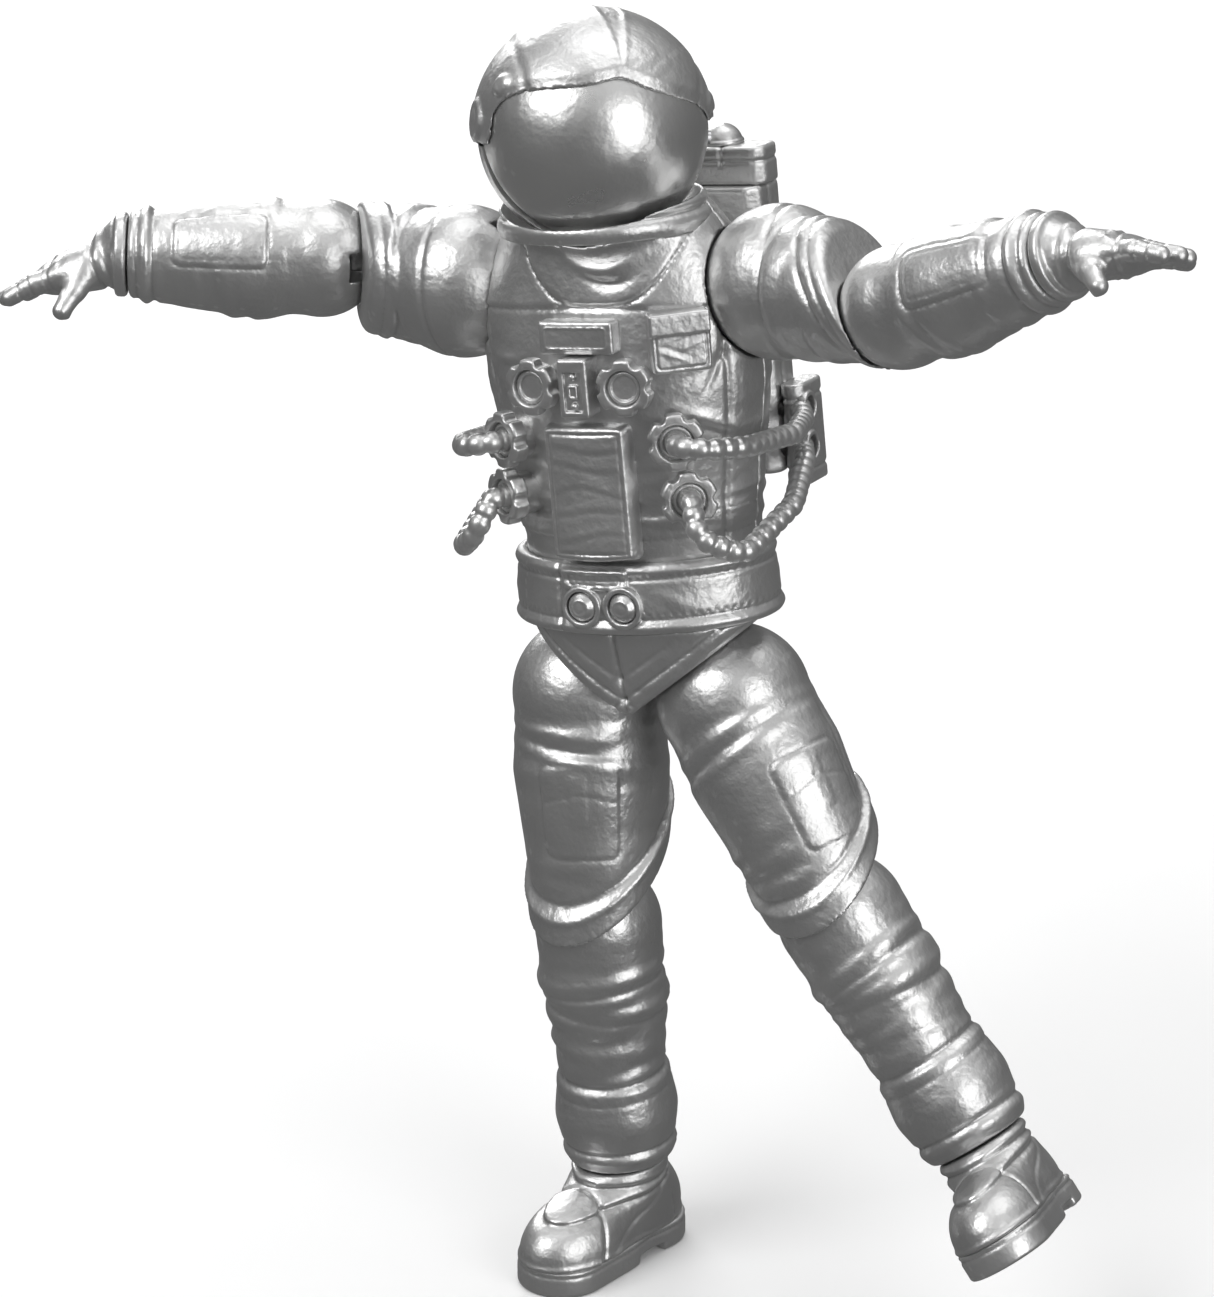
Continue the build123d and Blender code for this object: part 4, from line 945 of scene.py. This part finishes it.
spot = (0.0, -12.6, 15.4)
base = torso.at(*spot)
clay = chest_clay(spot, (11.2, 3.4, 16.4), 0.16)
x, y, z = clay.local(base)
ripple = 0.0
for index, height in enumerate((-5.2, -2.6, 0.2, 2.8, 5.4)):
    line = z - height - 0.5 * np.sin(0.5 * x + index) - 0.02 * (1 if index % 2 else -1) * x * x
    ripple = ripple + 0.06 * (bump(line - 0.6, 0.55) - bump(line, 0.45))
panel = clay.block(base, (11.2, 3.4, 16.4), 0.9)
panel += 0.035 * x * x * bump(y + 1.7, 1.2) - ripple * plate(x, z, 4.4, 7.2, 1.0, 0.5)
panel += 0.2 * bump(np.maximum(np.abs(x) - 4.5, np.abs(z) - 7.2), 0.2)
cast("belly_panel", clay, panel, "torso", "suit_silver", ["abdominal_panel"])

spot = (0.0, -13.2, 28.3)
base = torso.at(*spot)
clay = chest_clay(spot, (3.8, 4.0, 7.0), 0.09)
x, y, z = clay.local(base)
box = clay.block(base, (3.8, 4.0, 7.0), 0.4)
box = blend_cut(box, -clay.block(base.at(0, -2.0, -0.4), (2.3, 0.9, 4.7), 0.15), 0.15)
box = blend_union(box, clay.block(base.at(0, -1.75, -0.4), (1.2, 0.7, 1.7), 0.2), 0.1)
box = np.maximum(box, -clay.block(base.at(0, -2.1, -0.4), (0.7, 0.3, 1.1), 0.1))
for height in (-2.1, 1.4):
    box = blend_union(box, clay.rod(base.out(0, -1.6, height), base.out(0, -1.75, height), 0.42), 0.1)
cast("control_unit", clay, box, "torso", "suit_silver", ["control_box"])


def facing(spot, side):
    """The frame of a hose ring on one side of the chest, z pointing outward."""
    x, y, z, turn = spot
    seat = torso.at(side * x, y, z).spun(side * turn)
    return Frame(seat.origin, seat.x, -seat.y)


for row, spot in CONNECTORS.items():
    seats = [facing(spot, side) for side in (-1, 1)]
    ends = [seat.out(i, j, k) for seat in seats for i in (-4, 4) for j in (-4, 4) for k in (-3.3, 2.5)]
    clay = Clay(np.min(ends, 0), np.max(ends, 0), 0.15)
    both = None
    for seat in seats:
        x, y, z = clay.local(seat)
        away, angle = np.sqrt(x * x + y * y), np.arctan2(y, x)
        ring = clay.disc(seat, RING_R, -0.1, 1.9, 0.4)
        sector = (angle + np.pi / 6) % (np.pi / 3) - np.pi / 6
        notch = np.sqrt((away * np.cos(sector) - RING_R - 0.1) ** 2 + (away * np.sin(sector)) ** 2) - 0.72
        ring = blend_cut(ring, -notch, 0.25)
        ring = blend_cut(ring, -np.maximum(away - 2.15, 1.1 - z), 0.25)
        ring = blend_union(ring, np.maximum(np.abs(away - 1.75) - 0.18, np.abs(z - 1.0) - 0.4), 0.15)
        ring = np.minimum(ring, clay.disc(seat, RING_R - 0.85, -3.0, 0.2))
        both = ring if both is None else np.minimum(both, ring)
    cast(row.replace("connectors", "ports"), clay, both, "torso", "suit_silver", [row])


# ---- Hoses ---------------------------------------------------------------

HOSE_R, RIB_PITCH, RIB_DEPTH = 1.28, 1.8, 0.17
HOSE_ROUTES = {             # corners on the figure's left side: x, y, z
    "upper_hose": ((15.2, -15.2, 21.2), (18.6, -8.5, 20.2), (19.4, 3.0, 19.2), (17.2, 10.6, 19.2)),
    "lower_hose": ((14.6, -15.2, 10.6), (18.6, -11.5, 8.0), (20.0, 0.0, 11.4), (17.4, 9.6, 14.4)),
}
HOSE_START = {"upper_hose": "middle_connectors", "lower_hose": "lower_connectors"}
HOSE_END = {"upper_hose": (15.0, 14.4, 19.8), "lower_hose": (15.0, 14.4, 15.0)}
SIDE_BEND = 3.0


def rounded_path(corners, bends, step):
    """Points along a polyline whose corners are rounded with the given radii."""
    points = [corners[0]]
    for before, corner, after, bend in zip(corners, corners[1:], corners[2:], bends):
        into, away = unit(corner - before), unit(after - corner)
        half = math.acos(np.clip(into @ away, -1, 1)) / 2
        cut = bend * math.tan(half)
        normal = unit(away - into) if half > 1e-3 else np.zeros(3)
        centre = corner + normal * (bend / math.cos(half))
        start, finish = corner - into * cut - centre, corner + away * cut - centre
        for share in np.linspace(0, 1, 12):
            point = start * (1 - share) + finish * share
            points.append(centre + unit(point) * bend)
    points.append(corners[-1])
    points = np.array(points)
    run = np.concatenate([[0], np.cumsum(np.linalg.norm(np.diff(points, axis=0), axis=1))])
    at = np.arange(0, run[-1], step)
    return np.stack([np.interp(at, run, points[:, i]) for i in range(3)], 1), at


def swept_tube(name, path, radii, around):
    """A closed tube along a path, one radius for each point."""
    tangents = np.gradient(path, axis=0)
    tangents /= np.linalg.norm(tangents, axis=1)[:, None]
    side = square_to(UP, tangents[0])
    angles = np.linspace(0, 2 * np.pi, around, endpoint=False)
    points = []
    for spot, tangent, radius in zip(path, tangents, radii):
        side = square_to(side, tangent)
        other = np.cross(tangent, side)
        points.append(spot + radius * (np.outer(np.cos(angles), side) + np.outer(np.sin(angles), other)))
    count = len(path)
    ring, spoke = np.meshgrid(np.arange(count - 1), np.arange(around), indexing="ij")
    a, b = ring * around + spoke, ring * around + (spoke + 1) % around
    quads = np.stack([a, b, b + around, a + around], -1).reshape(-1, 4)
    points = np.concatenate(points + [path[:1], path[-1:]])
    spokes = np.arange(around)
    first, last = count * around, count * around + 1
    caps = [np.stack([np.full(around, first), (spokes + 1) % around, spokes], 1)]
    tail = (count - 1) * around
    caps.append(np.stack([np.full(around, last), tail + spokes, tail + (spokes + 1) % around], 1))
    return mesh_object(name, points, quads, np.concatenate(caps))


for side_name, side in zip(sides, (-1, 1)):
    for hose, corners in HOSE_ROUTES.items():
        seat = facing(CONNECTORS[HOSE_START[hose]], side)
        x, y, z = HOSE_END[hose]
        route = [seat.out(0, 0, 1.1), seat.out(0, 0, 3.3)]
        route += [torso.out(side * i, j, k) for i, j, k in corners] + [torso.out(side * x, y, z)]
        path, at = rounded_path(route, [1.0, SIDE_BEND, SIDE_BEND, SIDE_BEND, 1.2], 0.15)
        ribs = 0.5 + 0.5 * np.cos(2 * np.pi * at / RIB_PITCH)
        radii = HOSE_R - RIB_DEPTH * (1 - ribs) ** 2 * 1.4 + 0.04
        tube_piece = swept_tube(f"{side_name}_{hose}_ribbed", path, radii, 28)
        finish_piece(tube_piece, "torso", "hose_silver", [f"{side_name}_{hose}"])


# ---- Back pack -----------------------------------------------------------

def bevel_block(clay, base, size, bevel, soften):
    """A block with bevelled upright edges."""
    x, y, z = clay.local(base)
    corner = (np.abs(x) - size[0] / 2 + np.abs(y) - size[1] / 2 + bevel) / math.sqrt(2)
    return blend_cut(clay.block(base, size, soften), corner, 0.4)


def clay_round(base, size, step):
    """Clay round a block, with room to spare."""
    w, d, h = (s / 2 + 1.0 for s in size)
    return clay_over(base, (-w, w), (-d, d), (-h, h), step)


base, size = torso.at(0, 15.4, 29.5), (26.0, 8.0, 35.0)
clay = clay_round(base, size, 0.26)
x, y, z = clay.local(base)
case = bevel_block(clay, base, size, 1.6, 0.7)
for height in (-12.5, -2.0, 11.0):
    case += 0.28 * bump(z - height, 0.3) * step_up(np.abs(x) - 10.9, 1.5)
case += 0.25 * bump(y + 0.6, 0.3) * step_up(np.abs(x) - 11.5, 1)
body_x, body_y, body_z = clay.local(torso)
case = np.maximum(case, -(oval(body_x, body_y, body_z, TORSO_SECTIONS) - 0.2))
case = np.maximum(case, -clay.block(torso.at(0, 20.2, 30.0), (21.2, 1.7, 29.2), 0.1))
case = np.maximum(case, -clay.block(torso.at(0, 16.0, 29.5), (22.0, 4.6, 30.0), 0.3))
for side in (-1, 1):
    for _, y_end, z_end in HOSE_END.values():
        way = clay.rod(torso.out(side * 12.0, y_end, z_end), torso.out(side * 17.5, y_end, z_end), 1.4)
        case = np.maximum(case, -way)
cast("pack_body", clay, case, "torso", "suit_silver", ["pack_case"])

base, size = torso.at(0, 20.2, 30.0), (21.0, 1.6, 29.0)
clay = clay_round(base, (21.0, 3.6, 29.0), 0.18)
x, y, z = clay.local(base)
cover = bevel_block(clay, base, size, 0.5, 0.35)
cover -= 0.22 * outline_groove(x, z, 9.3, 13.3, 1.0, 0.35) * step_up(y, 0.8)
cover = blend_union(cover, clay.block(base.at(0, 0.75, 6.5), (14.0, 1.0, 10.0), 0.4), 0.3)
for slot_index in range(6):
    height = -11.0 + 1.6 * slot_index
    cover = blend_cut(cover, -clay.block(base.at(0, 0.9, height), (11.0, 0.8, 0.7), 0.2), 0.2)
for spot_x in (-5.0, 5.0):
    cap = clay.disc(Frame(base.out(spot_x, 0.9, 6.5), torso.x, torso.y), 2.4, -0.4, 0.9, 0.3)
    cover = blend_union(cover, cap, 0.2)
cast("pack_lid", clay, cover, "torso", "suit_silver", ["pack_cover"])

base, size = torso.at(0, 15.4, 49.3), (27.0, 5.6, 4.6)
clay = clay_round(base, size, 0.17)
x, y, z = clay.local(base)
top = bevel_block(clay, base, size, 1.2, 0.5)
top += 0.2 * bump(z - 0.6, 0.25) + 0.2 * bump(np.abs(x) - 8.0, 0.25) * step_up(z, 1)
top = blend_cut(top, -clay.ball(head_place, HELMET_R + COLLAR_GAP), 0.3)
top = np.maximum(top, 47.02 - clay.along(waist, torso.z))
body_x, body_y, body_z = clay.local(torso)
top = np.maximum(top, -(np.maximum(oval(body_x, body_y, body_z, COLLAR) - 0.35, 45 - body_z)))
cast("pack_top", clay, top, "torso", "suit_silver", ["pack_top_box"])

clay = clay_over(torso, (-17.5, 17.5), (11.5, 20.5), (9.5, 23.8), 0.17)
boxes = None
for side in (-1, 1):
    base = torso.at(side * 14.6, 16.0, 16.6)
    x, y, z = clay.local(base)
    box = bevel_block(clay, base, (3.2, 7.0, 12.4), 1.0, 0.45)
    box += 0.2 * bump(z - 4.4, 0.25) + 0.2 * bump(z + 4.4, 0.25)
    for _, y_end, z_end in HOSE_END.values():
        socket = Frame(torso.out(side * 16.1, y_end, z_end), torso.z, torso.x * side)
        box = blend_union(box, clay.disc(socket, 1.95, -0.5, 0.45, 0.2), 0.2)
        way = clay.rod(torso.out(side * 12, y_end, z_end), torso.out(side * 18, y_end, z_end), 1.4)
        box = np.maximum(box, -way)
    boxes = box if boxes is None else np.minimum(boxes, box)
boxes = np.maximum(boxes, -clay.block(torso.at(0, 15.4, 29.5), (26.05, 8.05, 35.0), 0.05))
cast("pack_sockets", clay, boxes, "torso", "suit_silver", ["pack_lower_boxes"])

base = torso.at(7.0, 16.0, 51.6)
clay = clay_round(base, (5.6, 5.6, 5.6), 0.12)
x, y, z = clay.local(base)
dome = blend_cut(clay.ball(base.origin, 2.4), -z, 0.2)
dome = blend_union(dome, clay.disc(base, 2.55, 0.0, 0.5, 0.2), 0.2)
cast("pack_beacon", clay, dome, "torso", "suit_silver", ["pack_dome"])


# ---- Helmet --------------------------------------------------------------

VISOR_LOW, VISOR_HIGH = -58.0, 45.0
BROW, CHIN = 37.5, -55.0
head_clay = Clay(head_place - 15.6, head_place + 15.6, 0.25)
x, y, z = head_clay.local(head)
away = head_clay.ball(head_place, 0)
pitch = np.degrees(np.arctan2(z, -y))            # about the ears, up from straight ahead
reach = np.abs(x) / 12.3
brow_line = BROW + 3.5 * bump(x, 2.4) - 0.8 * bump(np.abs(x) - 6, 3) + 6 * np.clip(reach - 0.62, 0, 1)
chin_line = CHIN + 5.0 * np.clip(reach - 0.3, 0, 1) ** 1.5
from_ears = np.sqrt(y * y + z * z)
opening = np.maximum(pitch - brow_line, chin_line - pitch) * np.pi / 180 * (from_ears + 0.3)
opening = np.where(y < 1.5, opening, 6.0)
opening = blend_cut(opening, np.abs(x) - 13.0, 2.0)
relief = np.zeros_like(x)
above = pitch - brow_line
parting = 1.5 * np.clip((pitch - 42) / 45, 0.05, 1)      # the two shades meet at the peak
panel_edge = np.maximum(np.abs(x) - 10.4 + 0.00035 * (pitch - 80) ** 2, pitch - 118)
shade = (1 - step_up(panel_edge, 0.5)) * step_up(above, 1.0) * step_up(np.abs(x) - parting, 0.7)
relief += 0.1 * shade
relief -= 0.14 * bump(panel_edge - 0.45, 0.3) * step_up(above, 2.0)
relief += 0.14 * bump(np.abs(x) - parting, 0.4) * step_up(above, 2.0) * step_up(125 - pitch, 6)
relief -= 0.4 * step_up(0.9 - opening, 1.6)
relief += 0.35 * (1 - step_up(from_ears - 2.4, 0.8)) - 0.15 * bump(from_ears - 1.4, 0.3)
pivot = np.sqrt((y + 4.0) ** 2 + (z - 5.5) ** 2)
relief += 0.4 * (1 - step_up(pivot - 1.2, 0.6)) * (np.abs(x) > 9)
wall = np.maximum(away - HELMET_R - relief * 0.9, HELMET_R - SHELL_WALL - away)
neck_down = -head_clay.along(head_place, torso.z)
neck_way = 2.3 + neck_down * math.tan(math.radians(20)) - head_clay.off_axis(head_place, torso.z)
lower_half = np.maximum(blend_cut(wall, -opening, 0.45), -(neck_way * 0.94))
shell = np.where(neck_down > 0, lower_half, np.maximum(wall, -opening))
cast("helmet_dome", head_clay, shell, "head", "suit_silver", ["helmet_shell"])

lune = np.maximum(pitch - VISOR_HIGH, VISOR_LOW - pitch) * np.pi / 180 * from_ears
lune = np.where(np.abs(pitch) > 172, 6.0, lune)
lune = np.minimum(lune, from_ears - 2.6)
lens = blend_cut(away - VISOR_R, lune, 0.4)
lens = np.maximum(lens, VISOR_R - VISOR_WALL - away)
lens = np.maximum(lens, 0.9 - from_ears)
cast("visor_bubble", head_clay, lens, "visor", "visor_silver", ["visor"])


# ---- Plain finishes for the CAD pieces that stay -------------------------

NODE_FINISH = {             # a word in the node's name, and its finish
    "screws": "steel",
    "pin": "steel",
    "peg": "peg_plastic",
    "neck_post": "peg_plastic",
    "core": "visor_silver",
}
for node, piece in frame["nodes"].items():
    finish = next((NODE_FINISH[word] for word in NODE_FINISH if word in node), "suit_silver")
    piece.data.materials.clear()
    piece.data.materials.append(materials[finish])


# ---- Floor, light and camera ---------------------------------------------

def stage_mesh(name, points, faces, material):
    mesh = bpy.data.meshes.new(name)
    mesh.from_pydata([tuple(p) for p in points], [], faces)
    mesh.polygons.foreach_set("use_smooth", [True] * len(faces))
    mesh.materials.append(material)
    piece = bpy.data.objects.new(name, mesh)
    bpy.context.scene.collection.objects.link(piece)
    return piece


paper, nodes, links, shader = new_material("paper")
shader.inputs["Roughness"].default_value = 0.9
shader.inputs["Specular IOR Level"].default_value = 0.1
where = nodes.new("ShaderNodeTexCoord").outputs["Object"]
tone = ramp(nodes, links, noise(nodes, links, where, 14.0), [(0.2, 0.93), (0.8, 0.95)])
links.new(tone, shader.inputs["Base Color"])
floor_piece = stage_mesh("floor", [(-6, -6, 0), (6, -6, 0), (6, 6, 0), (-6, 6, 0)], [(0, 1, 2, 3)], paper)
floor_piece.visible_glossy = False

AZIMUTH, ELEVATION, DISTANCE = math.radians(21.5), math.radians(22.0), 0.70
LENS = 161.9
target = np.array([0.004, 0.007, 0.080])
back = np.array([
    math.sin(AZIMUTH) * math.cos(ELEVATION),
    -math.cos(AZIMUTH) * math.cos(ELEVATION),
    math.sin(ELEVATION),
])
right = np.array([math.cos(AZIMUTH), math.sin(AZIMUTH), 0.0])
up = np.cross(back, right)
aim = target - right * 0.00588 - up * 0.00042


def look_from(thing, position, toward):
    direction = np.asarray(toward, float) - np.asarray(position, float)
    yaw = math.atan2(-direction[0], direction[1])
    tilt = math.atan2(direction[2], math.hypot(direction[0], direction[1])) + math.pi / 2
    thing.location = tuple(position)
    thing.rotation_euler = (tilt, 0.0, yaw)


camera_data = bpy.data.cameras.new("camera")
camera = bpy.data.objects.new("camera", camera_data)
bpy.context.scene.collection.objects.link(camera)
camera_data.lens = LENS
camera_data.sensor_width = 36.0
camera_data.clip_start = 0.01
look_from(camera, aim + back * DISTANCE, aim)
bpy.context.scene.camera = camera


def soft_box(name, position, size, power):
    data = bpy.data.lights.new(name, "AREA")
    data.shape = "RECTANGLE"
    data.size, data.size_y = size
    data.energy = power
    lamp = bpy.data.objects.new(name, data)
    bpy.context.scene.collection.objects.link(lamp)
    look_from(lamp, position, (0.0, 0.0, 0.09))


soft_box("key", (-0.55, -0.75, 0.95), (0.8, 0.7), 6.5)
soft_box("fill", (0.95, -0.55, 0.45), (0.7, 0.9), 4.5)
soft_box("top", (0.05, 0.25, 1.2), (1.0, 0.8), 3.5)
soft_box("rim", (-0.6, 0.8, 0.5), (0.6, 0.6), 4.0)

world = bpy.data.worlds.new("studio")
bpy.context.scene.world = world
world.use_nodes = True
nodes, links = world.node_tree.nodes, world.node_tree.links
surround = nodes["Background"]
across = nodes.new("ShaderNodeTexCoord").outputs["Generated"]
height = nodes.new("ShaderNodeSeparateXYZ")
links.new(across, height.inputs["Vector"])
SKY = [(0.0, 0.13), (0.40, 0.25), (0.6, 0.46), (0.8, 0.68), (1.0, 0.74)]      # height and brightness
sky = ramp(nodes, links, height.outputs["Z"], SKY)
links.new(sky, surround.inputs["Color"])
surround.inputs["Strength"].default_value = 0.9

bpy.context.scene.view_settings.view_transform = "Standard"
